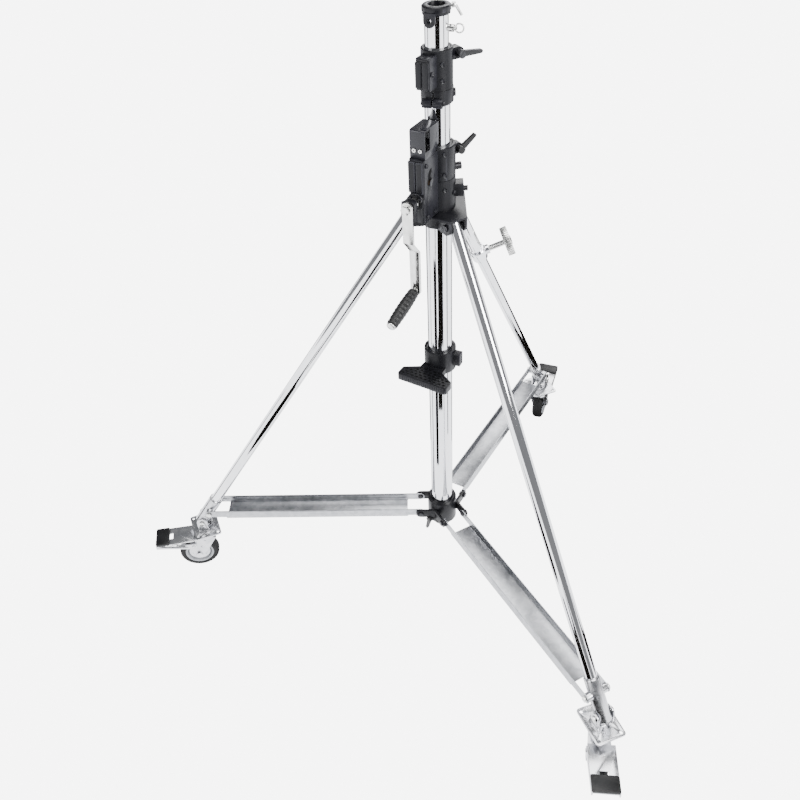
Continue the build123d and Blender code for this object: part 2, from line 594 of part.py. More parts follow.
# ---- top section ----------------------------------------------------------------------------
SOCKET_TOP = TOP_TUBE_HIGH + SOCKET_DISC_T
SOCKET_STEM_LOW = SOCKET_TOP - SPIGOT_BORE_DEPTH - 6.0
PIN_AZIMUTH = 345.0
PIN_Z = TOP_TUBE_HIGH - 28.0
PIN_R = 3.0
PIN_BOSS_R = 6.0
PIN_BOSS_END = TOP_TUBE_R + 9.0
RING_R = 7.0
RING_WIRE_R = 1.4
LEVER_SCREW_AZIMUTH = 10.0
LEVER_SCREW_R = 2.5
LEVER_SCREW_Z = SOCKET_TOP - SOCKET_DISC_T / 2

with BuildPart() as top_tube:
    add(tube(TOP_TUBE_R, TOP_TUBE_R - WALL, TOP_TUBE_LOW, TOP_TUBE_HIGH))
    with Locations(at(PIN_AZIMUTH, TOP_TUBE_R - 4.0, PIN_Z)):
        Cylinder(PIN_R + BEARING_GAP, 8.0, align=UP, rotation=(0, 90, 0), mode=Mode.SUBTRACT)
save("top_tube", top_tube.part)

with BuildPart() as spigot_socket:
    with BuildSketch(Plane.XY.offset(SOCKET_STEM_LOW)):
        Circle(TOP_TUBE_R - WALL)
    extrude(amount=TOP_TUBE_HIGH - SOCKET_STEM_LOW)
    with BuildSketch(Plane.XY.offset(TOP_TUBE_HIGH)):
        Circle(SOCKET_DISC_R)
    extrude(amount=SOCKET_DISC_T)
    chamfer(spigot_socket.edges().filter_by(GeomType.CIRCLE).sort_by(Axis.Z)[-1], 2.0)
    with BuildSketch(Plane.XY.offset(SOCKET_TOP - SPIGOT_BORE_DEPTH)):
        Circle(SPIGOT_BORE_R)
    extrude(amount=SPIGOT_BORE_DEPTH, mode=Mode.SUBTRACT)
    with Locations(at(PIN_AZIMUTH, SPIGOT_BORE_R - 4.0, PIN_Z)):
        Cylinder(PIN_R + BEARING_GAP, TOP_TUBE_R, align=UP, rotation=(0, 90, 0), mode=Mode.SUBTRACT)
    with Locations(at(LEVER_SCREW_AZIMUTH, SPIGOT_BORE_R - 4.0, LEVER_SCREW_Z)):
        Cylinder(LEVER_SCREW_R + BEARING_GAP, TOP_TUBE_R, align=UP, rotation=(0, 90, 0), mode=Mode.SUBTRACT)
save("spigot_socket", spigot_socket.part)

LUG_PLATE_T = 4.0
LUG_R = 10.5
LUG_DROP = 12.0
with BuildPart() as socket_lug:
    with BuildSketch(Plane.YZ.offset(TOP_TUBE_R + 1.0)):
        with Locations((0, TOP_TUBE_HIGH - LUG_DROP / 2)):
            Rectangle(2 * LUG_R, LUG_DROP)
        with Locations((0, TOP_TUBE_HIGH - LUG_DROP)):
            Circle(LUG_R)
            Circle(4.0, mode=Mode.SUBTRACT)
    extrude(amount=LUG_PLATE_T)
    with BuildSketch(Plane.XY.offset(TOP_TUBE_HIGH - 5.0)):
        Circle(TOP_TUBE_R + 3.0)
    extrude(amount=5.0)
    with BuildSketch(Plane.XY.offset(TOP_TUBE_HIGH - 30.0)):
        Circle(TOP_TUBE_R)
    extrude(amount=30.0, mode=Mode.SUBTRACT)
save("socket_lug", socket_lug.part, azimuth=WINCH_AZIMUTH)

with BuildPart() as socket_lever:
    with Locations(at(0, SPIGOT_BORE_R + 1.0, LEVER_SCREW_Z)):
        Cylinder(LEVER_SCREW_R, SOCKET_DISC_R - SPIGOT_BORE_R + 4.0, align=UP, rotation=(0, 90, 0))
    with BuildSketch(Plane.YZ.offset(SOCKET_DISC_R + 1.5)):
        with Locations((0, LEVER_SCREW_Z)):
            Circle(SOCKET_DISC_T / 2)
    extrude(amount=6.0)
    with BuildSketch(Plane.XZ.offset(-3.5)):
        with BuildLine():
            Polyline(
                (SOCKET_DISC_R + 2, LEVER_SCREW_Z + 4), (SOCKET_DISC_R + 8, LEVER_SCREW_Z + 3),
                (SOCKET_DISC_R + 19, LEVER_SCREW_Z - 16), (SOCKET_DISC_R + 15, LEVER_SCREW_Z - 18),
                close=True,
            )
        make_face()
    extrude(amount=7.0)
save("socket_lever", socket_lever.part, azimuth=LEVER_SCREW_AZIMUTH)

with BuildPart() as pin_boss:
    with BuildSketch(Plane.YZ.offset(TOP_TUBE_R + 0.01)):
        with Locations((0, PIN_Z)):
            Circle(PIN_BOSS_R)
    extrude(amount=PIN_BOSS_END - TOP_TUBE_R)
    with BuildSketch(Plane.YZ.offset(TOP_TUBE_R - 4.0)):
        with Locations((0, PIN_Z)):
            Circle(PIN_BOSS_R)
    extrude(amount=4.02)
    with BuildSketch(Plane.XY.offset(PIN_Z - 10.0)):
        Circle(TOP_TUBE_R)
    extrude(amount=20.0, mode=Mode.SUBTRACT)
    with Locations((TOP_TUBE_R - 5.0, 0, PIN_Z)):
        Cylinder(PIN_R + BEARING_GAP, 20.0, align=UP, rotation=(0, 90, 0), mode=Mode.SUBTRACT)
save("pin_boss", pin_boss.part, azimuth=PIN_AZIMUTH)

with BuildPart() as latch_pin:
    with Locations((SPIGOT_BORE_R + 0.5, 0, PIN_Z)):
        Cylinder(PIN_R, PIN_BOSS_END - SPIGOT_BORE_R + 4.0, align=UP, rotation=(0, 90, 0))
    with Locations((PIN_BOSS_END + FREE_GAP + RING_R + RING_WIRE_R, 0, PIN_Z)):
        Torus(RING_R, RING_WIRE_R, rotation=(90, 0, 0))
save("latch_pin", latch_pin.part, azimuth=PIN_AZIMUTH)

# ---- foot step --------------------------------------------------------------------------------
STEP_COLLAR_R = OUTER_TUBE_R + 8.0
STEP_CLAMP_TURN = 95.0   # the clamp's azimuth, counted from the tread's
with BuildPart() as foot_step:
    with BuildSketch(Plane.XY.offset(STEP_Z - STEP_T)):
        Circle(STEP_COLLAR_R)
    extrude(amount=STEP_T + 35.0)
    with BuildSketch(Plane.XY.offset(STEP_Z - STEP_T)):
        with BuildLine():
            Polyline(
                (10, -24), (40, -26), (58, -STEP_HALF_WIDTH), (STEP_REACH, -STEP_HALF_WIDTH),
                (STEP_REACH, STEP_HALF_WIDTH), (58, STEP_HALF_WIDTH), (40, 26), (10, 24), close=True,
            )
        make_face()
    extrude(amount=STEP_T)
    fillet(foot_step.edges().filter_by(Axis.Z).sort_by(Axis.X)[-4:], 6.0)
    with BuildSketch(Plane.XY.offset(STEP_Z - STEP_T)):
        with BuildLine():
            Polyline(
                (STEP_COLLAR_R + 4, -20), (60, -STEP_HALF_WIDTH + 5),
                (STEP_REACH - 4, -STEP_HALF_WIDTH + 5), (STEP_REACH - 4, STEP_HALF_WIDTH - 5),
                (60, STEP_HALF_WIDTH - 5), (STEP_COLLAR_R + 4, 20),
                close=True,
            )
        make_face()
    extrude(amount=STEP_T - 4.0, mode=Mode.SUBTRACT)
    with Locations(at(STEP_CLAMP_TURN, STEP_COLLAR_R + 4.0, STEP_Z + 14.0)):
        Box(20.0, 16.0, 30.0)
    with BuildSketch(Plane.XY.offset(STEP_Z - STEP_T)):
        Circle(OUTER_TUBE_R)
    extrude(amount=STEP_T + 35.0, mode=Mode.SUBTRACT)
save("foot_step", foot_step.part, azimuth=WINCH_AZIMUTH)

# ---- hub ----------------------------------------------------------------------------------------
HUB_LEVER_AZIMUTH = 226.0
HUB_LEVER_Z = 186.0
with BuildPart() as hub_ear_pair:
    with BuildSketch(Plane.XZ.offset(-HUB_EAR_INNER - HUB_EAR_T)):
        with Locations(((HUB_PIVOT_R + 14.0) / 2, BRACE_PIVOT_Z)):
            Rectangle(HUB_PIVOT_R - 14.0, 2 * (BRACE_TIP_R + 1))
        with Locations((HUB_PIVOT_R, BRACE_PIVOT_Z)):
            Circle(BRACE_TIP_R + 1)
            Circle(PIVOT_BOLT_R, mode=Mode.SUBTRACT)
    extrude(amount=HUB_EAR_T)
    mirror(about=Plane.XZ)

with BuildPart() as hub_casting:
    with BuildSketch(Plane.XY.offset(HUB_LOW)):
        Circle(HUB_R)
    extrude(amount=HUB_HIGH - HUB_LOW)
    chamfer(hub_casting.edges().filter_by(GeomType.CIRCLE), 4.0)
    with PolarLocations(0, 3, start_angle=LEG_AZIMUTHS["c"]):
        add(hub_ear_pair.part)
    with Locations(at(HUB_LEVER_AZIMUTH, HUB_R - 3.0, HUB_LEVER_Z)):
        Cylinder(8.0, 8.0, align=UP, rotation=(0, 90, 0))
    with BuildSketch(Plane.XY.offset(HUB_LOW - 1)):
        Circle(OUTER_TUBE_R + FREE_GAP + 0.1)
    extrude(amount=HUB_HIGH - HUB_LOW + 2, mode=Mode.SUBTRACT)
    with Locations(at(HUB_LEVER_AZIMUTH, OUTER_TUBE_R - 3.0, HUB_LEVER_Z)):
        Cylinder(SPINDLE_R + BEARING_GAP, 30.0, align=UP, rotation=(0, 90, 0), mode=Mode.SUBTRACT)
save("hub_casting", hub_casting.part)

hub_bolts = []
for azimuth in LEG_AZIMUTHS.values():
    for side in (-1, 1):
        with BuildPart() as hub_bolt:
            with BuildSketch(Plane.XZ.offset(-FLANGE_INNER + FREE_GAP)):
                with Locations((HUB_PIVOT_R, BRACE_PIVOT_Z)):
                    Circle(PIVOT_BOLT_R)
            extrude(amount=-(HUB_EAR_INNER + HUB_EAR_T - FLANGE_INNER + FREE_GAP))
            with BuildSketch(Plane.XZ.offset(-FLANGE_INNER + FREE_GAP)):
                with Locations((HUB_PIVOT_R, BRACE_PIVOT_Z)):
                    Circle(HEAD_R - 0.5)
            extrude(amount=2.5)
            with BuildSketch(Plane.XZ.offset(-HUB_EAR_INNER - HUB_EAR_T)):
                with Locations((HUB_PIVOT_R, BRACE_PIVOT_Z)):
                    RegularPolygon(HEAD_R, 6)
            extrude(amount=-HEAD_T)
        piece = hub_bolt.part if side > 0 else hub_bolt.part.mirror(Plane.XZ)
        hub_bolts.append(piece.rotate(Axis.Z, azimuth))
save("hub_bolts", *hub_bolts)

HUB_LEVER_START = HUB_R + 5.0 + FREE_GAP
with BuildPart() as hub_lever:
    add(lever(36.0, hub_r=7.0, hub_t=10.0))
    with BuildSketch(Plane.XY):
        Circle(SPINDLE_R)
    extrude(amount=-(HUB_LEVER_START - OUTER_TUBE_R - 1.0))
HUB_LEVER_FRAME = Plane(origin=(HUB_LEVER_START, 0, HUB_LEVER_Z), x_dir=(0, -0.25, -1), z_dir=(1, 0, 0))
save("hub_lever", hub_lever.part.moved(HUB_LEVER_FRAME.location), azimuth=HUB_LEVER_AZIMUTH)

# ---- braces ---------------------------------------------------------------------------------------
with BuildPart() as brace:
    with BuildSketch(Plane.XZ.offset(-BRACE_HALF_WIDTH)):
        with Locations(((HUB_PIVOT_R + FOOT_PIVOT_R) / 2, BRACE_PIVOT_Z)):
            SlotCenterToCenter(FOOT_PIVOT_R - HUB_PIVOT_R, 2 * BRACE_TIP_R)
        web_low = BRACE_PIVOT_Z - BRACE_DEPTH
        flange_high = BRACE_PIVOT_Z + BRACE_TIP_R
        web_from = HUB_PIVOT_R + WEB_CUT_HUB
        web_to = FOOT_PIVOT_R - WEB_CUT_FOOT
        with BuildLine():
            Polyline(
                (web_from, web_low), (web_to, web_low), (web_to + BRACE_DEPTH, flange_high),
                (web_from - BRACE_DEPTH, flange_high), close=True,
            )
        make_face()
    extrude(amount=2 * BRACE_HALF_WIDTH)
    with BuildSketch(Plane.XZ.offset(-FLANGE_INNER)):
        with Locations(((HUB_PIVOT_R + FOOT_PIVOT_R) / 2, BRACE_PIVOT_Z + 50 - BRACE_DEPTH + BRACE_SHEET)):
            Rectangle(FOOT_PIVOT_R, 100)
        with Locations((web_from - 50, BRACE_PIVOT_Z), (web_to + 50, BRACE_PIVOT_Z)):
            Rectangle(100, 60)
    extrude(amount=2 * FLANGE_INNER, mode=Mode.SUBTRACT)
    for pivot in (HUB_PIVOT_R, FOOT_PIVOT_R):
        hole_r = PIVOT_BOLT_R + BEARING_GAP
        hole = cross_pin(pivot, BRACE_PIVOT_Z, hole_r, -BRACE_HALF_WIDTH, BRACE_HALF_WIDTH)
        add(hole, mode=Mode.SUBTRACT)
for suffix, azimuth in LEG_AZIMUTHS.items():
    save(f"brace_{suffix}", brace.part, azimuth=azimuth)

# ---- legs -------------------------------------------------------------------------------------------
LEG_END_PAST_PIVOT = 6.0
SOCKET_SEAT = LEG_SPAN + 26.0
PIN_FRAME = {
    "brace": (FOOT_PIVOT_R, BRACE_PIVOT_Z),
    "foot": (FOOT_X, FOOT_Z),
}


def leg_tube(outer_r, start):
    """Leg tube along the leg's axis from start to its seat in the socket."""
    with BuildPart() as shaft:
        with BuildSketch(LEG_AXIS.offset(start)):
            Circle(outer_r)
            Circle(outer_r - LEG_WALL, mode=Mode.SUBTRACT)
        extrude(amount=SOCKET_SEAT - start)
        add(cross_pin(*PIN_FRAME["brace"], PIVOT_BOLT_R, -SOCKET_R, SOCKET_R), mode=Mode.SUBTRACT)
    return shaft.part


def leg_socket(tube_r):
    """Forged end that carries the brace pivot and the foot pivot."""
    with BuildPart() as forging:
        with BuildSketch(LEG_AXIS.offset(LEG_SPAN - SOCKET_ABOVE_PIVOT)):
            Circle(SOCKET_R)
        extrude(amount=SOCKET_ABOVE_PIVOT + FOOT_DROP + SOCKET_PAST_FOOT)
        chamfer(forging.edges().filter_by(GeomType.CIRCLE), 2.0)
        boss_half = FLANGE_INNER - FREE_GAP
        add(cross_pin(*PIN_FRAME["brace"], HEAD_R + 2, -boss_half, boss_half))
        with BuildSketch(LEG_AXIS.offset(LEG_SPAN - SOCKET_ABOVE_PIVOT)):
            Circle(tube_r)
        extrude(amount=SOCKET_SEAT - LEG_SPAN + SOCKET_ABOVE_PIVOT, mode=Mode.SUBTRACT)
        for place in PIN_FRAME.values():
            add(cross_pin(*place, PIVOT_BOLT_R, -boss_half, boss_half), mode=Mode.SUBTRACT)
    return forging.part


SLEEVE_END = LEVEL_SLEEVE_LENGTH - LEG_END_PAST_PIVOT
for suffix, azimuth in LEG_AZIMUTHS.items():
    levelling = suffix == "c"
    tube_r = LEVEL_TUBE_R if levelling else LEG_R
    start = 20.0 + LEVEL_TRAVEL if levelling else -LEG_END_PAST_PIVOT
    save(f"leg_tube_{suffix}", leg_tube(tube_r, start), azimuth=azimuth)
    brace_bolt = headed_pin(*PIN_FRAME["brace"], PIVOT_BOLT_R, BRACE_HALF_WIDTH + FREE_GAP)
    foot_bolt = headed_pin(*PIN_FRAME["foot"], PIVOT_BOLT_R, FOOT_EAR_INNER + FOOT_EAR_T + FREE_GAP)
    save(f"leg_socket_{suffix}", leg_socket(tube_r), brace_bolt, foot_bolt, azimuth=azimuth)

# Levelling leg: an outer sleeve runs on the thinner tube and is held by a clamp and its knob.
CLAMP_FROM = SLEEVE_END - 36.0
CLAMP_R = 17.0
KNOB_ANGLE = 40.0
KNOB_R = 31.0
KNOB_T = 14.0
KNOB_STEM_R = 6.0
KNOB_STEM_END = 58.0
with BuildPart() as level_sleeve:
    with BuildSketch(LEG_AXIS.offset(-LEG_END_PAST_PIVOT)):
        Circle(LEG_R)
        Circle(LEVEL_TUBE_R + FREE_GAP, mode=Mode.SUBTRACT)
    extrude(amount=LEVEL_SLEEVE_LENGTH)
KNOB_FRAME = Plane(
    origin=LEG_AXIS.from_local_coords((0, 0, SLEEVE_END - 18.0)),
    x_dir=LEG_AXIS.z_dir,
    z_dir=LEG_AXIS.x_dir * sin(radians(KNOB_ANGLE)) + Vector(0, -cos(radians(KNOB_ANGLE)), 0),
)
with BuildPart() as level_clamp:
    with BuildSketch(LEG_AXIS.offset(CLAMP_FROM)):
        Circle(CLAMP_R)
    extrude(amount=SLEEVE_END - CLAMP_FROM)
    chamfer(level_clamp.edges().filter_by(GeomType.CIRCLE), 2.0)
    with BuildSketch(KNOB_FRAME):
        Circle(10.0)
    extrude(amount=CLAMP_R + 7.0)
    with BuildSketch(LEG_AXIS.offset(CLAMP_FROM - 1)):
        Circle(LEG_R)
    extrude(amount=SLEEVE_END - CLAMP_FROM + 2, mode=Mode.SUBTRACT)
    with BuildSketch(KNOB_FRAME):
        Circle(KNOB_STEM_R + BEARING_GAP)
    extrude(amount=CLAMP_R + 8.0, mode=Mode.SUBTRACT)
save("level_sleeve", level_sleeve.part, level_clamp.part, azimuth=LEG_AZIMUTHS["c"])

with BuildPart() as level_knob:
    with BuildSketch(KNOB_FRAME.offset(LEG_R + FREE_GAP + 0.5)):
        Circle(KNOB_STEM_R)
    extrude(amount=KNOB_STEM_END - LEG_R - FREE_GAP - 0.5)
    with BuildSketch(KNOB_FRAME.offset(KNOB_STEM_END)):
        Circle(KNOB_R)
        with PolarLocations(KNOB_R, 36):
            Circle(1.2, mode=Mode.SUBTRACT)
    extrude(amount=KNOB_T)
save("level_knob", level_knob.part, azimuth=LEG_AZIMUTHS["c"])

# ---- feet -------------------------------------------------------------------------------------------
EAR_HALF = 13.0
for suffix, azimuth in LEG_AZIMUTHS.items():
    with BuildPart() as foot_plate:
        with BuildSketch(Plane(origin=(FOOT_X, 0, PLATE_TOP - PLATE_T), z_dir=(0, 0, 1))):
            RectangleRounded(PLATE_SIDE, PLATE_LENGTH, 6.0, rotation=PLATE_AZIMUTH - azimuth)
            Circle(KINGPIN_R + BEARING_GAP, mode=Mode.SUBTRACT)
            with Locations(Location((0, 0), PLATE_AZIMUTH - azimuth)):
                with GridLocations(PLATE_HOLES_ACROSS, PLATE_HOLES_ALONG, 2, 2):
                    Circle(PLATE_HOLE_R, mode=Mode.SUBTRACT)
        extrude(amount=PLATE_T)
        with BuildSketch(Plane.XZ.offset(-FOOT_EAR_INNER - FOOT_EAR_T)):
            with Locations((FOOT_X, (PLATE_TOP - 1 + FOOT_Z) / 2)):
                Rectangle(2 * EAR_HALF, FOOT_Z - PLATE_TOP + 1)
            with Locations((FOOT_X, FOOT_Z)):
                Circle(EAR_HALF)
                Circle(PIVOT_BOLT_R + BEARING_GAP, mode=Mode.SUBTRACT)
        extrude(amount=FOOT_EAR_T)
        with BuildSketch(Plane.XZ.offset(FOOT_EAR_INNER)):
            with Locations((FOOT_X, (PLATE_TOP - 1 + FOOT_Z) / 2)):
                Rectangle(2 * EAR_HALF, FOOT_Z - PLATE_TOP + 1)
            with Locations((FOOT_X, FOOT_Z)):
                Circle(EAR_HALF)
                Circle(PIVOT_BOLT_R + BEARING_GAP, mode=Mode.SUBTRACT)
        extrude(amount=FOOT_EAR_T)
    save(f"foot_plate_{suffix}", foot_plate.part, azimuth=azimuth)

# ---- casters: drawn with the swivel axis on Z and the wheel trailing along +X ---------------------
HEAD_DISC_R = 24.0
AXLE_Z = WHEEL_RADIUS
FORK_OUTER = FORK_INNER + FORK_T
CROWN_TOP = FORK_CROWN_Z + FORK_T
SWIVEL_TOP = PLATE_TOP - PLATE_T - FREE_GAP
with BuildPart() as caster_fork:
    with BuildSketch(Plane.XZ.offset(-FORK_OUTER)):
        with BuildLine():
            Polyline(
                (-22, CROWN_TOP), (CASTER_TRAIL + 16, CROWN_TOP), (CASTER_TRAIL + 14, AXLE_Z + 4),
                (CASTER_TRAIL + 5, AXLE_Z - 13), (CASTER_TRAIL - 9, AXLE_Z - 11), close=True,
            )
        make_face()
        with Locations((CASTER_TRAIL, AXLE_Z)):
            Circle(14.0)
    extrude(amount=2 * FORK_OUTER)
    with BuildSketch(Plane.XZ.offset(-FORK_INNER)):
        with Locations((CASTER_TRAIL, FORK_CROWN_Z - 60)):
            Rectangle(200, 120)
    extrude(amount=2 * FORK_INNER, mode=Mode.SUBTRACT)
    with BuildSketch(Plane.XY.offset(CROWN_TOP)):
        Circle(HEAD_DISC_R)
    extrude(amount=SWIVEL_TOP - CROWN_TOP)
    with BuildSketch(Plane.XY.offset(CROWN_TOP + 8.0)):
        Circle(HEAD_DISC_R + 1)
        Circle(HEAD_DISC_R - 3.0, mode=Mode.SUBTRACT)
    extrude(amount=3.0, mode=Mode.SUBTRACT)
    with BuildSketch(Plane.XY.offset(SWIVEL_TOP)):
        Circle(KINGPIN_R)
    extrude(amount=PLATE_T + 2 * FREE_GAP)
    with BuildSketch(Plane.XY.offset(PLATE_TOP + FREE_GAP)):
        RegularPolygon(9.5, 6)
    extrude(amount=5.0)
    add(cross_pin(CASTER_TRAIL, AXLE_Z, AXLE_R, -FORK_OUTER, FORK_OUTER), mode=Mode.SUBTRACT)
    stud_end = PEDAL_INNER + PEDAL_T + 2
    for low, high in ((-stud_end, -FORK_INNER - 1), (FORK_INNER + 1, stud_end)):
        add(cross_pin(PEDAL_PIVOT_X, PEDAL_PIVOT_Z, SPINDLE_R, low, high))

axle = headed_pin(CASTER_TRAIL, AXLE_Z, AXLE_R, FORK_OUTER, head_r=HEAD_R + 2)

with BuildPart() as tyre:
    with BuildSketch(Plane.XY):
        with Locations(((WHEEL_RADIUS + RIM_R) / 2, 0)):
            Rectangle(WHEEL_RADIUS - RIM_R, TYRE_WIDTH)
    revolve(axis=Axis.Y)
    fillet(tyre.edges().filter_by(GeomType.CIRCLE).sort_by(SortBy.RADIUS)[-2:], TREAD_FILLET)

with BuildPart() as wheel_hub:
    with BuildSketch(Plane.XY):
        with BuildLine():
            Polyline(
                (AXLE_R + BEARING_GAP, FORK_INNER - FREE_GAP), (12.0, FORK_INNER - FREE_GAP), (14.0, 8.0),
                (RIM_R - 5, 8.0), (RIM_R - 3, TYRE_WIDTH / 2 - 1), (RIM_R, TYRE_WIDTH / 2 - 1), (RIM_R, 0),
                (AXLE_R + BEARING_GAP, 0), close=True,
            )
        make_face()
    revolve(axis=Axis.Y)
    mirror(about=Plane.XZ)

PAD_HALF = 27.5
PAD_LENGTH = 34.0
PAD_LOW = FORK_CROWN_Z + FORK_T + 2.0
PEDAL_TOP_START = 34.0
PEDAL_NOTCH = 9.0
PAD_T = 6.0
PEDAL_OUTER = PEDAL_INNER + PEDAL_T
with BuildPart() as brake_lever:
    with BuildSketch(Plane.XZ.offset(-PEDAL_OUTER)):
        with BuildLine():
            Polyline(
                (PEDAL_PIVOT_X, PEDAL_PIVOT_Z + 9), (PEDAL_REACH - PAD_LENGTH, PAD_LOW),
                (PEDAL_REACH, PAD_LOW), (PEDAL_REACH, PAD_LOW - 10),
                (PEDAL_REACH - PAD_LENGTH, PAD_LOW - 16),
                (PEDAL_PIVOT_X, PEDAL_PIVOT_Z - 9), close=True,
            )
        make_face()
        with Locations((PEDAL_PIVOT_X, PEDAL_PIVOT_Z)):
            Circle(9.0)
    extrude(amount=2 * PEDAL_OUTER)
    with BuildSketch(Plane.XZ.offset(-PEDAL_INNER)):
        with Locations(((PEDAL_REACH - PAD_LENGTH) / 2, PAD_LOW)):
            Rectangle(PEDAL_REACH - PAD_LENGTH, 80)
        with Locations((PEDAL_REACH, PAD_LOW - PEDAL_T - 20)):
            Rectangle(2 * PAD_LENGTH + 40, 40)
    extrude(amount=2 * PEDAL_INNER, mode=Mode.SUBTRACT)
    with BuildSketch(Plane.XY.offset(PAD_LOW)):
        with Locations(((PEDAL_TOP_START + PEDAL_REACH - PAD_LENGTH) / 2, 0)):
            Rectangle(PEDAL_REACH - PAD_LENGTH - PEDAL_TOP_START, 2 * PEDAL_OUTER)
    extrude(amount=PEDAL_T)
    with BuildSketch(Plane.XY.offset(PAD_LOW - PEDAL_T)):
        with Locations((PEDAL_REACH - PAD_LENGTH, 0)):
            Rectangle(2 * PEDAL_NOTCH, 2 * PEDAL_NOTCH)
    extrude(amount=2 * PEDAL_T + 0.1, mode=Mode.SUBTRACT)
    hole = cross_pin(PEDAL_PIVOT_X, PEDAL_PIVOT_Z, SPINDLE_R + BEARING_GAP, -PEDAL_OUTER, PEDAL_OUTER)
    add(hole, mode=Mode.SUBTRACT)

with BuildPart() as pedal_pad:
    with BuildSketch(Plane.XY.offset(PAD_LOW)):
        with Locations((PEDAL_REACH - PAD_LENGTH / 2, 0)):
            RectangleRounded(PAD_LENGTH, 2 * PAD_HALF, 4.0)
    extrude(amount=PAD_T)

for suffix, azimuth in LEG_AZIMUTHS.items():
    swivel = Location((0, 0, 0), (0, 0, azimuth)) * Location((FOOT_X, 0, 0))
    trail = swivel * Location((0, 0, 0), (0, 0, CASTER_AZIMUTHS[suffix] - azimuth))
    on_axle = trail * Location((CASTER_TRAIL, 0, AXLE_Z))
    save(f"caster_fork_{suffix}", caster_fork.part.moved(trail), axle.moved(trail))
    save(f"tyre_{suffix}", tyre.part.moved(on_axle))
    save(f"wheel_hub_{suffix}", wheel_hub.part.moved(on_axle))
    save(f"brake_lever_{suffix}", brake_lever.part.moved(trail), pedal_pad.part.moved(trail))

# Fold geometry for the record: hub travel and the turns of brace and leg at the folded end.
CASTER_SWEEP = hypot(PEDAL_REACH, PEDAL_OUTER) + 3.0    # pedal pressed, any swivel
FOLDED_LEG = asin((CASTER_SWEEP / cos(radians(30)) - LEG_PIVOT_R) / FOOT_SPAN)
folded_x = LEG_PIVOT_R + LEG_SPAN * sin(FOLDED_LEG)
folded_z = LEG_PIVOT_Z - LEG_SPAN * cos(FOLDED_LEG)
brace_length = FOOT_PIVOT_R - HUB_PIVOT_R
rise = sqrt(brace_length**2 - (folded_x - HUB_PIVOT_R) ** 2)
print("hub travel", folded_z + rise - BRACE_PIVOT_Z)
print("brace turn", 90 - degrees(asin((folded_x - HUB_PIVOT_R) / brace_length)))
print("leg turn", LEG_ANGLE - degrees(FOLDED_LEG))
print("foot", FOOT_X, FOOT_Z, "leg angle", LEG_ANGLE, "span", LEG_SPAN)
print("knob origin", KNOB_FRAME.origin, "dir", KNOB_FRAME.z_dir)
print("drum", DRUM_X, DRUM_Z, "pulley", PULLEY_X, PULLEY_Z, PULLEY_PATH_R)
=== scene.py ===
import json
import logging
import math
from dataclasses import dataclass, field
from enum import Enum
from typing import Callable, Iterable, Optional

import bpy
from mathutils import Matrix, Vector

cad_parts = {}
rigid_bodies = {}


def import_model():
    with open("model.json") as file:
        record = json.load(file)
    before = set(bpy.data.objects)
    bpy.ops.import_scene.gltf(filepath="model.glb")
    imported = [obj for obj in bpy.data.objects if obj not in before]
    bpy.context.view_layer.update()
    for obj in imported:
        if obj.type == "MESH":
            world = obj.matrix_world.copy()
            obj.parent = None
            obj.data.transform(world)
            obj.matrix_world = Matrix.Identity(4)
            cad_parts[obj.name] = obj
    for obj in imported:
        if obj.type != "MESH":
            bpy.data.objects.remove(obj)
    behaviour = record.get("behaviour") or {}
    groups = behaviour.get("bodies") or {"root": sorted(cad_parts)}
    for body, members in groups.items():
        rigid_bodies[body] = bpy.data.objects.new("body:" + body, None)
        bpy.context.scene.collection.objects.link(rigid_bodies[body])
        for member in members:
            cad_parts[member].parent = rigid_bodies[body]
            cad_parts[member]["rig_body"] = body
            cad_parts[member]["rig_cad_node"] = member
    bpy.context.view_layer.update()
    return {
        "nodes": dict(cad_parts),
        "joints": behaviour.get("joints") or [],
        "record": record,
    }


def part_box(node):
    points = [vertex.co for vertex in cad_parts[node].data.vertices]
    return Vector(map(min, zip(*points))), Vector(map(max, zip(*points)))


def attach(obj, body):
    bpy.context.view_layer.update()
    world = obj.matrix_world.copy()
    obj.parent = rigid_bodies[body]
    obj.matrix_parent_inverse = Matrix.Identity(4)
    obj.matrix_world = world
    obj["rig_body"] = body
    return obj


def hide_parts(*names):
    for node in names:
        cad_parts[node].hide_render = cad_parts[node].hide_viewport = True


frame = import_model()
log = logging.getLogger("lighting_stand")
MM = 0.001


# ---- places -------------------------------------------------------------------------------
class Side(Enum):
    """Azimuths, in degrees from +X, that the stand's pieces face."""

    LEG_A = 180.0
    LEG_B = 300.0
    LEG_C = 60.0
    WINCH = 240.0


LEGS = {"a": Side.LEG_A, "b": Side.LEG_B, "c": Side.LEG_C}
CASTER_TRAIL_AZIMUTH = {"a": 190.0, "b": 266.0, "c": 70.0}


def centre(node: str) -> Vector:
    """Middle of a node's box, in metres."""
    low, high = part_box(node)
    return (low + high) / 2


def place(azimuth: float, radius: float, height: float, side: float = 0.0) -> Vector:
    """A point round the column.

    Args:
        azimuth: direction from the column, in degrees.
        radius: distance out along the azimuth, in millimetres.
        height: height above the floor, in millimetres.
        side: offset square to the azimuth, anticlockwise seen from above, in millimetres.

    Returns:
        The point, in metres.
    """
    turn = math.radians(azimuth)
    x = radius * math.cos(turn) - side * math.sin(turn)
    y = radius * math.sin(turn) + side * math.cos(turn)
    return Vector((x, y, height)) * MM


# ---- node trees ---------------------------------------------------------------------------
def linear(code: str) -> tuple[float, float, float, float]:
    """Linear colour of an sRGB hex code.

    Args:
        code: six hex digits, such as "8a8f96".

    Returns:
        Red, green, blue and alpha.
    """
    parts = [int(code[i:i + 2], 16) / 255 for i in (0, 2, 4)]
    values = [c / 12.92 if c <= 0.04045 else ((c + 0.055) / 1.055) ** 2.4 for c in parts]
    return (values[0], values[1], values[2], 1.0)


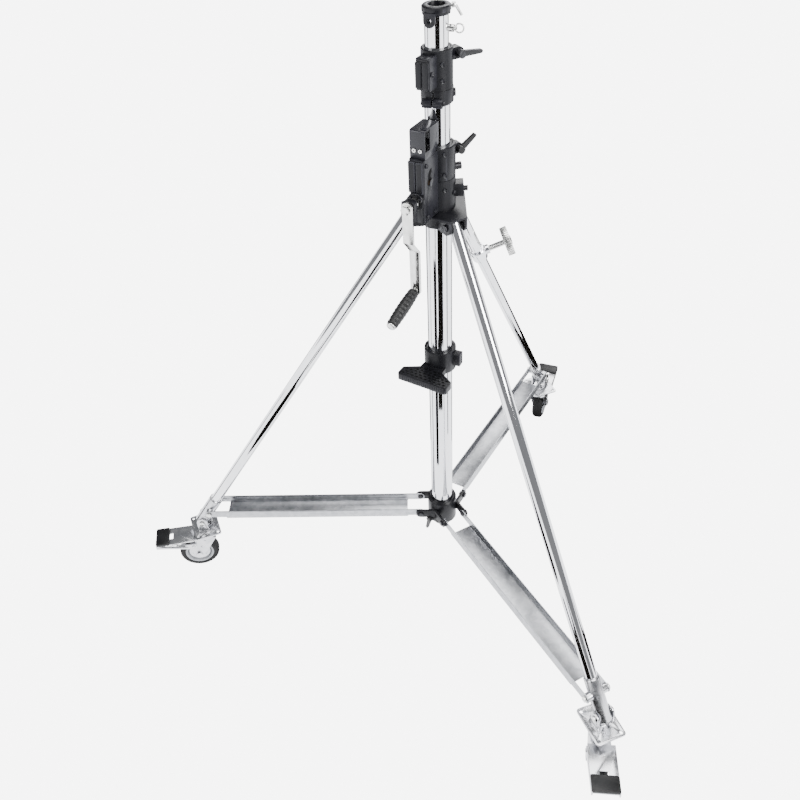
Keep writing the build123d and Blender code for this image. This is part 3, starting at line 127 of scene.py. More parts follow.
def add_node(
    tree: bpy.types.NodeTree, kind: str, inputs: Optional[dict] = None, **settings: object
) -> bpy.types.Node:
    """Add one node with its settings, and link or set its inputs.

    Args:
        tree: the node tree to add to.
        kind: Blender's node type.
        inputs: input name or index to a value, or to an output socket to link.
        settings: properties of the node itself.

    Returns:
        The new node.
    """
    node = tree.nodes.new(kind)
    for name, value in settings.items():
        setattr(node, name, value)
    for key, value in (inputs or {}).items():
        if isinstance(value, bpy.types.NodeSocket):
            tree.links.new(value, node.inputs[key])
        else:
            node.inputs[key].default_value = value
    return node


def set_ramp(node: bpy.types.Node, stops: Iterable[tuple[float, str]]) -> bpy.types.Node:
    """Give a colour ramp its stops.

    Args:
        node: the ramp's node.
        stops: places from 0 to 1, each with its hex colour.

    Returns:
        The same node.
    """
    ramp = node.color_ramp
    stops = list(stops)
    while len(ramp.elements) < len(stops):
        ramp.elements.new(1.0)
    for element, (where, code) in zip(ramp.elements, stops):
        element.position = where
        element.color = linear(code)
    return node


def per_metre(size_mm: float) -> float:
    """Texture scale that gives features of about size_mm."""
    return 1.0 / (size_mm * MM)


# ---- finishes -----------------------------------------------------------------------------
@dataclass(frozen=True)
class Finish:
    """A surface finish: base colour, a colour of its variation, gloss, grain and a painted edge highlight."""

    name: str
    slot: str
    colour: str
    shade: str
    metallic: float
    roughness: float
    roughness_spread: float
    grain_mm: float
    bump_mm: float
    patch_mm: float = 60.0
    stretch: tuple[float, float, float] = (1.0, 1.0, 1.0)
    edge_highlight: Optional[str] = None
    coat: float = 0.0
    specular: float = 0.5

    def build(self) -> bpy.types.Material:
        """Make the node material.

        Returns:
            The material, with colour patches, gloss variation and a fine bump.
        """
        material = bpy.data.materials.new(self.name)
        material.use_nodes = True
        tree = material.node_tree
        tree.nodes.clear()
        coords = add_node(tree, "ShaderNodeTexCoord")
        scaled = add_node(
            tree, "ShaderNodeMapping", {"Vector": coords.outputs["Object"], "Scale": self.stretch}
        )
        patches = add_node(
            tree, "ShaderNodeTexNoise",
            {
                "Vector": scaled.outputs[0], "Scale": per_metre(self.patch_mm), "Detail": 4.0,
                "Roughness": 0.55,
            },
        )
        grain = add_node(
            tree, "ShaderNodeTexNoise",
            {"Vector": scaled.outputs[0], "Scale": per_metre(self.grain_mm), "Detail": 3.0},
        )
        colour = set_ramp(
            add_node(tree, "ShaderNodeValToRGB", {"Fac": patches.outputs["Fac"]}),
            [(0.32, self.shade), (0.62, self.colour)],
        ).outputs["Color"]
        colour = self.edge_highlight_and_spangle(tree, colour)
        gloss = add_node(
            tree, "ShaderNodeMapRange",
            {
                "Value": patches.outputs["Fac"], "From Min": 0.3, "From Max": 0.7,
                "To Min": self.roughness - self.roughness_spread,
                "To Max": self.roughness + self.roughness_spread,
            },
        )
        bump = add_node(
            tree, "ShaderNodeBump",
            {
                "Height": self.relief(tree, scaled.outputs[0], grain.outputs["Fac"]),
                "Distance": self.bump_mm * MM, "Strength": 0.5,
            },
        )
        shader = add_node(
            tree, "ShaderNodeBsdfPrincipled",
            {
                "Base Color": colour, "Roughness": gloss.outputs["Result"], "Normal": bump.outputs["Normal"],
                "Metallic": self.metallic, "Coat Weight": self.coat, "Coat Roughness": 0.12,
                "Specular IOR Level": self.specular,
            },
        )
        add_node(tree, "ShaderNodeOutputMaterial", {"Surface": shader.outputs["BSDF"]})
        return material

    def edge_highlight_and_spangle(self, tree: bpy.types.NodeTree, colour: bpy.types.NodeSocket) -> bpy.types.NodeSocket:
        """Lighten the convex edges: a painted highlight where the edges catch the light.

        Args:
            tree: the material's nodes.
            colour: the unworn colour.

        Returns:
            The colour with its painted edge highlight.
        """
        if self.edge_highlight is None:
            return colour
        # Painted highlight: convex edges, found by pointiness, are mixed towards the lighter edge colour.
        geometry = add_node(tree, "ShaderNodeNewGeometry")
        edge_light = add_node(
            tree, "ShaderNodeMapRange",
            {
                "Value": geometry.outputs["Pointiness"], "From Min": 0.53, "From Max": 0.62,
                "To Min": 0.0, "To Max": 0.8,
            },
        )
        mixed = add_node(
            tree, "ShaderNodeMix", {"Factor": edge_light.outputs["Result"], 6: colour, 7: linear(self.edge_highlight)},
            data_type="RGBA",
        )
        return mixed.outputs[2]

    def relief(
        self, tree: bpy.types.NodeTree, vector: bpy.types.NodeSocket, grain: bpy.types.NodeSocket
    ) -> bpy.types.NodeSocket:
        """Height that the bump reads; a plain grain here."""
        return grain


@dataclass(frozen=True)
class GalvanisedSheet(Finish):
    """Hot-dip zinc: flat crystals about a centimetre across, each with its own grey."""

    spangle_mm: float = 9.0

    def edge_highlight_and_spangle(self, tree: bpy.types.NodeTree, colour: bpy.types.NodeSocket) -> bpy.types.NodeSocket:
        """Lay the crystals' greys over the base colour.

        Args:
            tree: the material's nodes.
            colour: the base colour.

        Returns:
            The colour with its crystals.
        """
        coords = add_node(tree, "ShaderNodeTexCoord")
        cells = add_node(
            tree, "ShaderNodeTexVoronoi",
            {"Vector": coords.outputs["Object"], "Scale": per_metre(self.spangle_mm)},
        )
        grey = add_node(tree, "ShaderNodeRGBToBW", {"Color": cells.outputs["Color"]})
        tone = set_ramp(
            add_node(tree, "ShaderNodeValToRGB", {"Fac": grey.outputs[0]}),
            [(0.2, self.shade), (0.8, self.colour)],
        )
        mixed = add_node(
            tree, "ShaderNodeMix", {"Factor": 0.45, 6: colour, 7: tone.outputs["Color"]}, data_type="RGBA"
        )
        return mixed.outputs[2]


@dataclass(frozen=True)
class MouldedRubber(Finish):
    """Vulcanised rubber: matt black with the fine pits of its mould."""

    pit_mm: float = 1.6

    def relief(
        self, tree: bpy.types.NodeTree, vector: bpy.types.NodeSocket, grain: bpy.types.NodeSocket
    ) -> bpy.types.NodeSocket:
        """Pits over the grain."""
        pits = add_node(tree, "ShaderNodeTexVoronoi", {"Vector": vector, "Scale": per_metre(self.pit_mm)})
        total = add_node(
            tree, "ShaderNodeMath", {0: pits.outputs["Distance"], 1: grain}, operation="ADD"
        )
        return total.outputs[0]


@dataclass(frozen=True)
class LaidRope(Finish):
    """Steel wire rope: slanting strands a few millimetres apart."""

    strand_mm: float = 2.0

    def relief(
        self, tree: bpy.types.NodeTree, vector: bpy.types.NodeSocket, grain: bpy.types.NodeSocket
    ) -> bpy.types.NodeSocket:
        """Strands as diagonal waves.

        Args:
            tree: the material's nodes.
            vector: the pattern's coordinates.
            grain: the plain grain, not used here; the strands take its place.

        Returns:
            The waves' height.
        """
        wave = add_node(
            tree, "ShaderNodeTexWave", {"Vector": vector, "Scale": per_metre(self.strand_mm) / 6.3},
            bands_direction="DIAGONAL",
        )
        return wave.outputs["Fac"]


# Chromium plate over drawn steel tube: a mirror with faint long draw lines.
CHROME = Finish(
    "chrome_plate", "chrome_tube", "f0f0f2", "e2e3e6", 1.0, 0.06, 0.02, 3.0, 0.01, 45.0, (1, 1, 0.12),
)
# Polished nickel on small turned parts: a little warmer and softer than the tubes.
NICKEL = Finish("polished_nickel", "bright_steel", "e8e8e5", "cfcfcc", 1.0, 0.16, 0.05, 1.2, 0.02, 14.0)
# Powder-coated die casting: black with a slight orange peel that breaks up highlights; its edge colour is a
# painted highlight on convex edges.
POWDER = Finish(
    "powder_coated_casting", "black_casting", "101014", "0c0c10", 0.0, 0.36, 0.03, 0.9, 0.03, 30.0,
    edge_highlight="34343a", specular=0.22,
)
# Baked enamel on bent sheet: smoother than the castings; its edge colour is a painted highlight on convex
# edges.
ENAMEL = Finish(
    "black_enamel_sheet", "black_steel", "141419", "101014", 0.0, 0.28, 0.03, 1.4, 0.02, 40.0,
    edge_highlight="3a3a40", specular=0.30,
)
# Galvanised channel: grey spangled zinc, softly bright.
GALVANISED = GalvanisedSheet(
    "galvanised_channel", "zinc_channel", "bcbdc0", "9b9da1", 1.0, 0.36, 0.06, 2.4, 0.02, 26.0,
)
# Bright zinc electroplate on pressings and forgings.
ZINC = Finish("bright_zinc_plate", "zinc_fork", "d6d6d8", "bfc0c3", 1.0, 0.25, 0.05, 2.6, 0.02, 22.0)
# Moulded nylon for levers, bushes and pads; its edge colour is a painted highlight on convex edges.
NYLON = Finish(
    "moulded_nylon", "black_plastic", "0e0e10", "0a0a0b", 0.0, 0.44, 0.08, 0.8, 0.06, 18.0, edge_highlight="2e2e31",
    specular=0.35,
)
# Grip rubber, ribbed and slightly shiny from hands.
GRIP = MouldedRubber(
    "grip_rubber", "grip_rubber", "0d0d0e", "09090a", 0.0, 0.50, 0.08, 0.9, 0.08, 20.0, specular=0.4,
)
# Tyre rubber, matt.
TYRE = MouldedRubber(
    "tyre_rubber", "tyre_rubber", "0f0f10", "0a0a0b", 0.0, 0.66, 0.06, 1.1, 0.10, 22.0, specular=0.3,
)
# Grey polypropylene wheel centre.
POLYMER = Finish("grey_polypropylene", "rim_grey", "a4a6aa", "929498", 0.0, 0.38, 0.05, 1.2, 0.05, 20.0)
# Galvanised wire rope of the winch.
ROPE = LaidRope("steel_wire_rope", "wire_rope", "b4b4b5", "7e7e80", 1.0, 0.35, 0.08, 0.8, 0.25, 4.0)
# Cast bronze of the worm wheel.
BRONZE = Finish("cast_bronze", "worm_bronze", "b08a4a", "8c6a34", 1.0, 0.34, 0.08, 1.2, 0.05, 10.0)
# Flat black painted where slots, holes and gaps are seen into: painted shade standing in for the dark inside
# them.
SHADOW = Finish(
    "painted_shade_recess", "black_casting", "040405", "020203", 0.0, 0.7, 0.05, 1.0, 0.02, 10.0, specular=0.1,
)


class Palette:
    """Builds each finish once and hands it out."""

    def __init__(self) -> None:
        """Start with no material built."""
        self.made: dict[str, bpy.types.Material] = {}

    def material(self, finish: Finish) -> bpy.types.Material:
        """The finish's material, built at its first use.

        Args:
            finish: the surface wanted.

        Returns:
            The one material made for it.
        """
        if finish.name not in self.made:
            self.made[finish.name] = finish.build()
        return self.made[finish.name]


PALETTE = Palette()


# ---- making pieces ------------------------------------------------------------------------
def deselect() -> None:
    """Clear the selection, in object mode."""
    if bpy.context.mode != "OBJECT":
        bpy.ops.object.mode_set(mode="OBJECT")
    bpy.ops.object.select_all(action="DESELECT")


def only(piece: bpy.types.Object) -> bpy.types.Object:
    """Select one object and make it active.

    Args:
        piece: the object to work on.

    Returns:
        The same piece.
    """
    deselect()
    piece.hide_viewport = False
    piece.select_set(True)
    bpy.context.view_layer.objects.active = piece
    return piece


def settle(piece: bpy.types.Object) -> bpy.types.Object:
    """Put a piece's place, turn and size in its mesh, so that its object is at the origin.

    Args:
        piece: the object as it was modelled.

    Returns:
        The same piece.
    """
    only(piece)
    bpy.ops.object.transform_apply(location=True, rotation=True, scale=True)
    return piece


def modify(piece: bpy.types.Object, kind: str, **settings: object) -> bpy.types.Object:
    """Add a modifier, set it and apply it.

    Args:
        piece: the mesh to change.
        kind: Blender's modifier type.
        settings: the modifier's properties.

    Returns:
        The same piece.
    """
    only(piece)
    modifier = piece.modifiers.new(kind.lower(), kind)
    for name, value in settings.items():
        setattr(modifier, name, value)
    bpy.ops.object.modifier_apply(modifier=modifier.name)
    return piece


def smooth(piece: bpy.types.Object, angle: float = 32.0) -> bpy.types.Object:
    """Shade smooth except across sharp edges.

    Args:
        piece: the mesh to shade.
        angle: the sharpest edge that is shaded smooth, in degrees.

    Returns:
        The same piece.
    """
    only(piece)
    bpy.ops.object.shade_smooth_by_angle(angle=math.radians(angle))
    return piece


def pick_faces(piece: bpy.types.Object, test: Callable[[bpy.types.MeshPolygon], bool]) -> int:
    """Select the faces that pass a test and leave the piece in edit mode.

    Args:
        piece: the mesh to look through.
        test: says whether a face is wanted.

    Returns:
        How many faces are selected.
    """
    only(piece)
    bpy.ops.object.mode_set(mode="EDIT")
    bpy.ops.mesh.select_mode(type="FACE")
    bpy.ops.mesh.select_all(action="DESELECT")
    bpy.ops.object.mode_set(mode="OBJECT")
    count = 0
    for face in piece.data.polygons:
        face.select = bool(test(face))
        count += face.select
    bpy.ops.object.mode_set(mode="EDIT")
    return count


def end_edit() -> None:
    """Go back to object mode."""
    bpy.ops.object.mode_set(mode="OBJECT")


def face_out(piece: bpy.types.Object) -> None:
    """Turn every face of a closed piece outwards.

    Args:
        piece: the mesh to put right.
    """
    only(piece)
    bpy.ops.object.mode_set(mode="EDIT")
    bpy.ops.mesh.select_all(action="SELECT")
    bpy.ops.mesh.normals_make_consistent(inside=False)
    end_edit()


def outline(points: list[Vector], fill: str) -> bpy.types.Object:
    """A circle's ring of corners, moved to the given points in order.

    Args:
        points: the corners in metres, going round once.
        fill: NGON for one flat face, NOTHING for the edges alone.

    Returns:
        The piece, in object mode.
    """
    deselect()
    bpy.ops.mesh.primitive_circle_add(vertices=len(points), fill_type=fill)
    piece = bpy.context.object
    for vertex, point in zip(piece.data.vertices, points):
        vertex.co = point
    piece.data.update()
    return piece


def joint_line(name: str) -> tuple[Vector, Vector]:
    """Where a CAD joint is and the way its axis points.

    Args:
        name: the joint's name.

    Returns:
        A point on the axis, in metres, and its unit direction.
    """
    joint = next(j for j in frame["joints"] if j["name"] == name)
    return Vector(joint["pos_m"]), Vector(joint["axis"]).normalized()


def dress(piece: bpy.types.Object, finish: Finish) -> bpy.types.Object:
    """Give a piece one finish.

    Args:
        piece: the modelled object.
        finish: its surface.

    Returns:
        The same piece.
    """
    piece.data.materials.clear()
    piece.data.materials.append(PALETTE.material(finish))
    return piece


def mount(
    piece: bpy.types.Object, name: str, body: str, finish: Finish, angle: float = 32.0
) -> bpy.types.Object:
    """Name, settle, shade, dress and attach a finished new piece.

    Args:
        piece: the modelled object.
        name: its final name.
        body: the CAD body that it moves with.
        finish: its surface.
        angle: the sharpest edge that is shaded smooth, in degrees.

    Returns:
        The piece.
    """
    piece.name = name
    piece.data.name = name
    settle(piece)
    smooth(piece, angle)
    dress(piece, finish)
    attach(piece, body)
    log.info("%s rides on %s in %s", name, body, finish.name)
    return piece


def keep(node: str, finish: Finish) -> None:
    """Leave a CAD node as it is, with a finish of its own.

    Args:
        node: the CAD node.
        finish: its surface.
    """
    piece = frame["nodes"][node]
    piece.data.materials.clear()
    piece.data.materials.append(PALETTE.material(finish))
    log.info("%s keeps its shape in %s", node, finish.name)


def body_of(node: str) -> str:
    """Name of the body that a CAD node belongs to."""
    groups = frame["record"]["behaviour"]["bodies"]
    return next(body for body, nodes in groups.items() if node in nodes)


def merged_copy(node: str) -> bpy.types.Object:
    """A copy of a CAD node with its loose triangles joined into one clean mesh.

    Args:
        node: the CAD node's name.

    Returns:
        The copy, not yet attached.
    """
    source = frame["nodes"][node]
    piece = source.copy()
    piece.data = source.data.copy()
    piece.parent = None
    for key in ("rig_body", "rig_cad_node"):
        if key in piece:
            del piece[key]
    bpy.context.scene.collection.objects.link(piece)
    only(piece)
    if piece.data.has_custom_normals:
        bpy.ops.mesh.customdata_custom_splitnormals_clear()
    bpy.ops.object.mode_set(mode="EDIT")
    bpy.ops.mesh.select_all(action="SELECT")
    bpy.ops.mesh.remove_doubles(threshold=1e-6)
    bpy.ops.mesh.dissolve_limited(angle_limit=math.radians(0.6), delimit={"NORMAL"})
    bpy.ops.object.mode_set(mode="OBJECT")
    return piece


def softened(
    node: str, finish: Finish, width_mm: float, parts: Optional[Callable[[Vector], Optional[Finish]]] = None
) -> list[bpy.types.Object]:
    """Stand in for a CAD node with the same shape, its hard edges rounded.

    Args:
        node: the CAD node.
        finish: the surface.
        width_mm: how wide the rounding is.
        parts: for a node of several solids, gives a solid's own finish from its size, or None.

    Returns:
        The new pieces.
    """
    whole = merged_copy(node)
    whole.name = f"{node}_soft"
    if parts is not None:
        only(whole)
        bpy.ops.object.mode_set(mode="EDIT")
        bpy.ops.mesh.select_all(action="SELECT")
        bpy.ops.mesh.separate(type="LOOSE")
        bpy.ops.object.mode_set(mode="OBJECT")
        pieces = sorted(bpy.context.selected_objects, key=lambda o: -o.dimensions.length)
    else:
        pieces = [whole]
    for number, piece in enumerate(pieces):
        modify(
            piece, "BEVEL", width=width_mm * MM, segments=2, limit_method="ANGLE",
            angle_limit=math.radians(28), use_clamp_overlap=True, miter_outer="MITER_ARC",
        )
        own = parts(piece.dimensions.copy()) if parts is not None else None
        name = f"{node}_soft" if number == 0 else f"{node}_soft_{number}"
        mount(piece, name, body_of(node), own or finish)
    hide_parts(node)
    return pieces


def copy_to(piece: bpy.types.Object, matrix: Matrix) -> bpy.types.Object:
    """A copy of a modelled piece with its own mesh, moved by a matrix.

    Args:
        piece: the pattern.
        matrix: where the copy goes.

    Returns:
        The copy.
    """
    other = piece.copy()
    other.data = piece.data.copy()
    bpy.context.scene.collection.objects.link(other)
    other.data.transform(matrix)
    return other


def join(pieces: list[bpy.types.Object]) -> bpy.types.Object:
    """Join modelled pieces into one object.

    Args:
        pieces: the pieces, of which the first takes in the others.

    Returns:
        The joined piece.
    """
    deselect()
    for piece in pieces:
        piece.select_set(True)
    bpy.context.view_layer.objects.active = pieces[0]
    bpy.ops.object.join()
    return pieces[0]


def facing(point: Vector, direction: Vector) -> Matrix:
    """Matrix that puts a piece modelled along +Z at a point, facing a direction."""
    return Matrix.Translation(point) @ direction.to_track_quat("Z", "Y").to_matrix().to_4x4()


def outward(azimuth: float, rise: float = 0.0) -> Vector:
    """Unit vector along an azimuth, tilted up by rise degrees."""
    turn, up = math.radians(azimuth), math.radians(rise)
    return Vector((math.cos(turn) * math.cos(up), math.sin(turn) * math.cos(up), math.sin(up)))


# ---- small hardware -----------------------------------------------------------------------
@dataclass
class SocketScrew:
    """Cap screw with a hexagon socket, modelled once along +Z and copied."""

    head_r: float = 4.0
    head_h: float = 3.0
    socket_r: float = 2.1
    model: Optional[bpy.types.Object] = field(default=None, repr=False)

    def build(self) -> bpy.types.Object:
        """Model the head: a disc with a bevelled rim and a sunk round socket."""
        deselect()
        bpy.ops.mesh.primitive_cylinder_add(
            vertices=24, radius=self.head_r * MM, depth=self.head_h * MM,
            location=(0, 0, self.head_h * MM / 2),
        )
        head = bpy.context.object
        settle(head)
        top = self.head_h * MM
        pick_faces(head, lambda f: f.normal.z > 0.9 and abs(f.center.z - top) < 1e-6)
        bpy.ops.mesh.inset(thickness=(self.head_r - self.socket_r) * MM)
        bpy.ops.transform.translate(value=(0, 0, -self.head_h * 0.6 * MM))
        end_edit()
        self.model = modify(head, "BEVEL", width=0.35 * MM, segments=2, limit_method="ANGLE")
        return self.model

    def drive(self, spots: list[tuple[Vector, Vector]], name: str, body: str, finish: Finish) -> None:
        """Put copies of the screw on a body, as one named piece.

        Args:
            spots: where each copy sits and the way its head faces.
            name: the piece's name.
            body: the CAD body that it moves with.
            finish: its surface.
        """
        model = self.model or self.build()
        copies = [copy_to(model, facing(point, direction)) for point, direction in spots]
        mount(join(copies), name, body, finish)

    def discard(self) -> None:
        """Remove the pattern once all its copies are placed."""
        if self.model is not None:
            bpy.data.objects.remove(self.model)
            self.model = None


@dataclass
class CoverShell:
    """Half of a raised cover that faces the winch side, its front lifted in a step; in millimetres."""

    thickness: float
    width: float
    height: float
    border: float
    lift: float
    edge_r: float
    edge_steps: int

    def build(self, spot: Vector) -> bpy.types.Object:
        """Model the shell in its place.

        Args:
            spot: the middle of the shell, in metres.

        Returns:
            The shell, not yet attached.
        """
        deselect()
        bpy.ops.mesh.primitive_cube_add(size=1.0)
        shell = bpy.context.object
        shell.scale = Vector((self.thickness, self.width, self.height)) * MM
        shell.rotation_euler.z = math.radians(Side.WINCH.value)
        shell.location = spot
        settle(shell)
        front = outward(Side.WINCH.value)
        pick_faces(shell, lambda f: f.normal.dot(front) > 0.9)
        bpy.ops.mesh.inset(thickness=self.border * MM)
        bpy.ops.transform.translate(value=front * self.lift * MM)
        end_edit()
        return modify(
            shell, "BEVEL", width=self.edge_r * MM, segments=self.edge_steps, limit_method="ANGLE",
            angle_limit=math.radians(20),
        )


# ---- sub-assemblies -----------------------------------------------------------------------
@dataclass
class Mast:
    """The three chromed column tubes, their bushes and the end cap."""

    def build(self) -> None:
        """Dress the tubes and the small plastic pieces."""
        for node in ("outer_tube", "middle_tube", "top_tube"):
            keep(node, CHROME)
        for node in ("lower_bush", "upper_bush"):
            keep(node, NYLON)
        keep("tube_end_cap", NYLON)


@dataclass
class Winch:
    """Winch housing, gearbox, pulley cover, crank and their screws."""

    case_half: float = 15.0
    case_reach: float = 78.0
    shell_low: float = 1078.0
    shell_high: float = 1137.0
    shell_t: float = 3.2
    slot_x: float = 55.0
    slot_z: float = 1104.0
    slot_r: float = 9.5
    slot_w: float = 3.4
    cap_r: float = 6.5
    drum_height: float = 1091.4
    grip_length: float = 86.0
    grip_r: float = 12.3
    grip_bore_r: float = 4.3
    grip_ribs: int = 9
    flange_height: float = 1063.0
    flange_screw_r: float = 12.5
    housing_r: float = 31.2

    def build(self, screw: SocketScrew) -> None:
        """Make the whole winch.

        Args:
            screw: the cap screw to copy.
        """
        castings = (
            "winch_housing", "leg_bracket", "gearbox_case_left", "gearbox_case_right", "brake_flange",
        )
        for node in castings:
            softened(node, POWDER, 1.2)
        softened("pulley_cover", ENAMEL, 0.8)
        softened("crank_knuckle", POWDER, 1.0)
        softened("winch_lock_lever", NYLON, 1.0)
        softened("crank_arm", NICKEL, 1.2)
        softened("housing_fasteners", NICKEL, 0.5, parts=self.fastener_finish)
        for node in ("crank_shaft", "grip_spindle"):
            softened(node, NICKEL, 0.6)
        keep("lift_cable", ROPE)
        keep("worm_wheel", BRONZE)
        keep("top_pulley", NYLON)
        self.front_shells()
        self.side_slot()
        self.shaft_caps()
        self.grip()
        self.screws(screw)

    @staticmethod
    def fastener_finish(size: Vector) -> Optional[Finish]:
        """Ear bolts are black, the small cover screws are bright."""
        return ENAMEL if size.length > 14 * MM else None

    def front_shells(self) -> None:
        """Two raised cover halves on the gearbox front, with the seam between them."""
        shape = CoverShell(
            self.shell_t, self.case_half - 0.8, self.shell_high - self.shell_low, 2.4, 0.9, 2.2, 4
        )
        for name, sign in (("gear_cover_left", -1), ("gear_cover_right", 1)):
            height = (self.shell_high + self.shell_low) / 2
            spot = place(
                Side.WINCH.value, self.case_reach + self.shell_t / 2, height, sign * (0.5 + shape.width / 2)
            )
            mount(shape.build(spot), name, "column", POWDER)

    def side_slot(self) -> None:
        """Crescent window in each side of the gearbox: a curved slot with a raised lip, in flat black that
        paints the shade inside the window.
        """
        for name, sign in (("case_slot_left", -1), ("case_slot_right", 1)):
            deselect()
            bpy.ops.mesh.primitive_cylinder_add(
                vertices=64, radius=(self.slot_r + self.slot_w) * MM, depth=0.8 * MM,
            )
            slot = bpy.context.object
            pick_faces(slot, lambda f: abs(f.normal.z) > 0.9)
            bpy.ops.mesh.inset(thickness=self.slot_w * 2 * MM)
            bpy.ops.mesh.delete(type="FACE")
            bpy.ops.mesh.select_mode(type="EDGE")
            bpy.ops.mesh.select_non_manifold()
            bpy.ops.mesh.bridge_edge_loops()
            bpy.ops.mesh.select_all(action="SELECT")
            bpy.ops.mesh.bisect(
                plane_co=(self.slot_r * 0.25 * MM, 0, 0), plane_no=(1, 0, 0), clear_inner=True, use_fill=True,
            )
            end_edit()
            front = outward(Side.WINCH.value)
            side = outward(Side.WINCH.value + 90.0 * sign)
            spot = place(Side.WINCH.value, self.slot_x - 6.0, self.slot_z, sign * (self.case_half + 0.1))
            basis = Matrix((front, side.cross(front), side)).transposed()
            slot.data.transform(Matrix.Translation(spot) @ basis.to_4x4())
            face_out(slot)
            # Painted shade: the slot's flat black stands in for the dark inside the window.
            mount(slot, name, "column", SHADOW)

    def shaft_caps(self) -> None:
        """Black caps over the drum shaft's two ends."""
        caps = []
        for sign in (-1, 1):
            deselect()
            bpy.ops.mesh.primitive_cylinder_add(vertices=32, radius=self.cap_r * MM, depth=1.4 * MM)
            cap = bpy.context.object
            modify(cap, "BEVEL", width=0.5 * MM, segments=2, limit_method="ANGLE")
            spot = place(Side.WINCH.value, self.slot_x, self.drum_height, sign * (self.case_half + 2.2))
            cap.data.transform(facing(spot, outward(Side.WINCH.value + 90.0 * sign)))
            caps.append(cap)
        mount(join(caps), "drum_shaft_caps", "drum", ENAMEL)

    def grip(self) -> None:
        """Ribbed rubber sleeve on the crank's spindle, in place of the plain one."""
        start = centre("crank_grip")
        direction = joint_line("grip_spin")[1]
        length, radius, ribs = self.grip_length, self.grip_r, self.grip_ribs
        deselect()
        bpy.ops.mesh.primitive_cylinder_add(vertices=40, radius=radius * MM, depth=length * MM)
        sleeve = bpy.context.object
        pick_faces(sleeve, lambda f: abs(f.normal.z) > 0.9)
        bpy.ops.mesh.inset(thickness=(radius - self.grip_bore_r) * MM)
        bpy.ops.mesh.delete(type="FACE")
        bpy.ops.mesh.select_mode(type="EDGE")
        bpy.ops.mesh.select_non_manifold()
        bpy.ops.mesh.bridge_edge_loops()
        end_edit()
        only(sleeve)
        bpy.ops.object.mode_set(mode="EDIT")
        for rib in range(1, 2 * ribs):
            bpy.ops.mesh.select_all(action="SELECT")
            height = (rib / (2 * ribs) - 0.5) * length * MM
            bpy.ops.mesh.bisect(plane_co=(0, 0, height), plane_no=(0, 0, 1))
        end_edit()
        step = length / (2 * ribs) * MM
        outer = [
            v for v in sleeve.data.vertices if math.hypot(v.co.x, v.co.y) > (radius - 1) * MM
        ]
        for vertex in outer:
            place_along = vertex.co.z / (length * MM)
            belly = 1.0 - 0.14 * (abs(place_along) * 2) ** 2
            groove = 0.93 if round(vertex.co.z / step) % 2 else 1.0
            vertex.co.x *= belly * groove
            vertex.co.y *= belly * groove
        modify(
            sleeve, "BEVEL", width=0.7 * MM, segments=2, limit_method="ANGLE", angle_limit=math.radians(12)
        )
        sleeve.data.transform(facing(start, direction))
        face_out(sleeve)
        mount(sleeve, "grip_sleeve", "grip", GRIP, 50.0)
        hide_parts("crank_grip")

    def screws(self, screw: SocketScrew) -> None:
        """Cap screws on the gearbox sides, the brake flange and the housing.

        Args:
            screw: the cap screw to copy.
        """
        spots = []
        for sign in (-1, 1):
            face = outward(Side.WINCH.value + 90.0 * sign)
            for radius, height in ((70.0, 1128.0), (70.0, 1030.0), (42.0, 1030.0)):
                spots.append((place(Side.WINCH.value, radius, height, sign * self.case_half), face))
        for turn in (30.0, 150.0, 270.0):
            side = self.flange_screw_r * math.cos(math.radians(turn))
            height = self.flange_height + self.flange_screw_r * math.sin(math.radians(turn))
            spot = place(Side.WINCH.value, self.case_reach + 7.0, height, side)
            spots.append((spot, outward(Side.WINCH.value)))
        housing_screws = (
            (290.0, 1130.0), (290.0, 1090.0), (195.0, 1110.0), (330.0, 1050.0), (290.0, 1062.0),
        )
        for azimuth, height in housing_screws:
            spots.append((place(azimuth, self.housing_r, height), outward(azimuth)))
        screw.drive(spots, "winch_cap_screws", "column", ENAMEL)


@dataclass
class Collar:
    """Upper collar of the middle section, with its cable box, screws and lever."""

    radius: float = 27.0
    box_half: float = 13.0
    box_reach: float = 50.0
    box_low: float = 1250.0
    box_high: float = 1299.0

    def build(self, screw: SocketScrew) -> None:
        """Make the collar's pieces.

        Args:
            screw: the cap screw to copy.
        """
        softened("upper_collar", POWDER, 1.0)
        softened("cable_box", POWDER, 0.8)
        softened("collar_lock_lever", NYLON, 1.0)
        self.box_shells()
        wall_screws = (
            (288.0, 1285.0), (288.0, 1258.0), (195.0, 1285.0), (195.0, 1258.0), (120.0, 1262.0),
        )
        spots = [
            (place(azimuth, self.radius - 0.3, height), outward(azimuth)) for azimuth, height in wall_screws
        ]
        for sign in (-1, 1):
            face = outward(Side.WINCH.value + 90.0 * sign)
            spots.append((place(Side.WINCH.value, 42.0, 1275.0, sign * self.box_half), face))
        for sign in (-1, 1):
            azimuth = Side.WINCH.value + 14.0
            spots.append((place(azimuth, 31.0, 1222.0, sign * 17.0), outward(azimuth + 90.0 * sign)))
        screw.drive(spots, "collar_cap_screws", "middle_section", ENAMEL)

    def box_shells(self) -> None:
        """Raised front shells of the cable box, left and right of its seam."""
        shape = CoverShell(2.6, self.box_half - 1.0, self.box_high - self.box_low - 6.0, 2.0, 0.7, 0.9, 3)
        for name, sign in (("cable_cover_left", -1), ("cable_cover_right", 1)):
            height = (self.box_high + self.box_low) / 2
            spot = place(Side.WINCH.value, self.box_reach + 0.9, height, sign * (0.4 + shape.width / 2))
            mount(shape.build(spot), name, "middle_section", POWDER)


@dataclass
class TopFitting:
    """Spigot socket, side lug, clamp lever and spring latch."""

    def build(self) -> None:
        """Soften and dress the top pieces."""
        softened("spigot_socket", POWDER, 0.8)
        softened("socket_lug", POWDER, 0.8)
        softened("socket_lever", NICKEL, 0.8)
        softened("pin_boss", NICKEL, 0.5)
        keep("latch_pin", NICKEL)


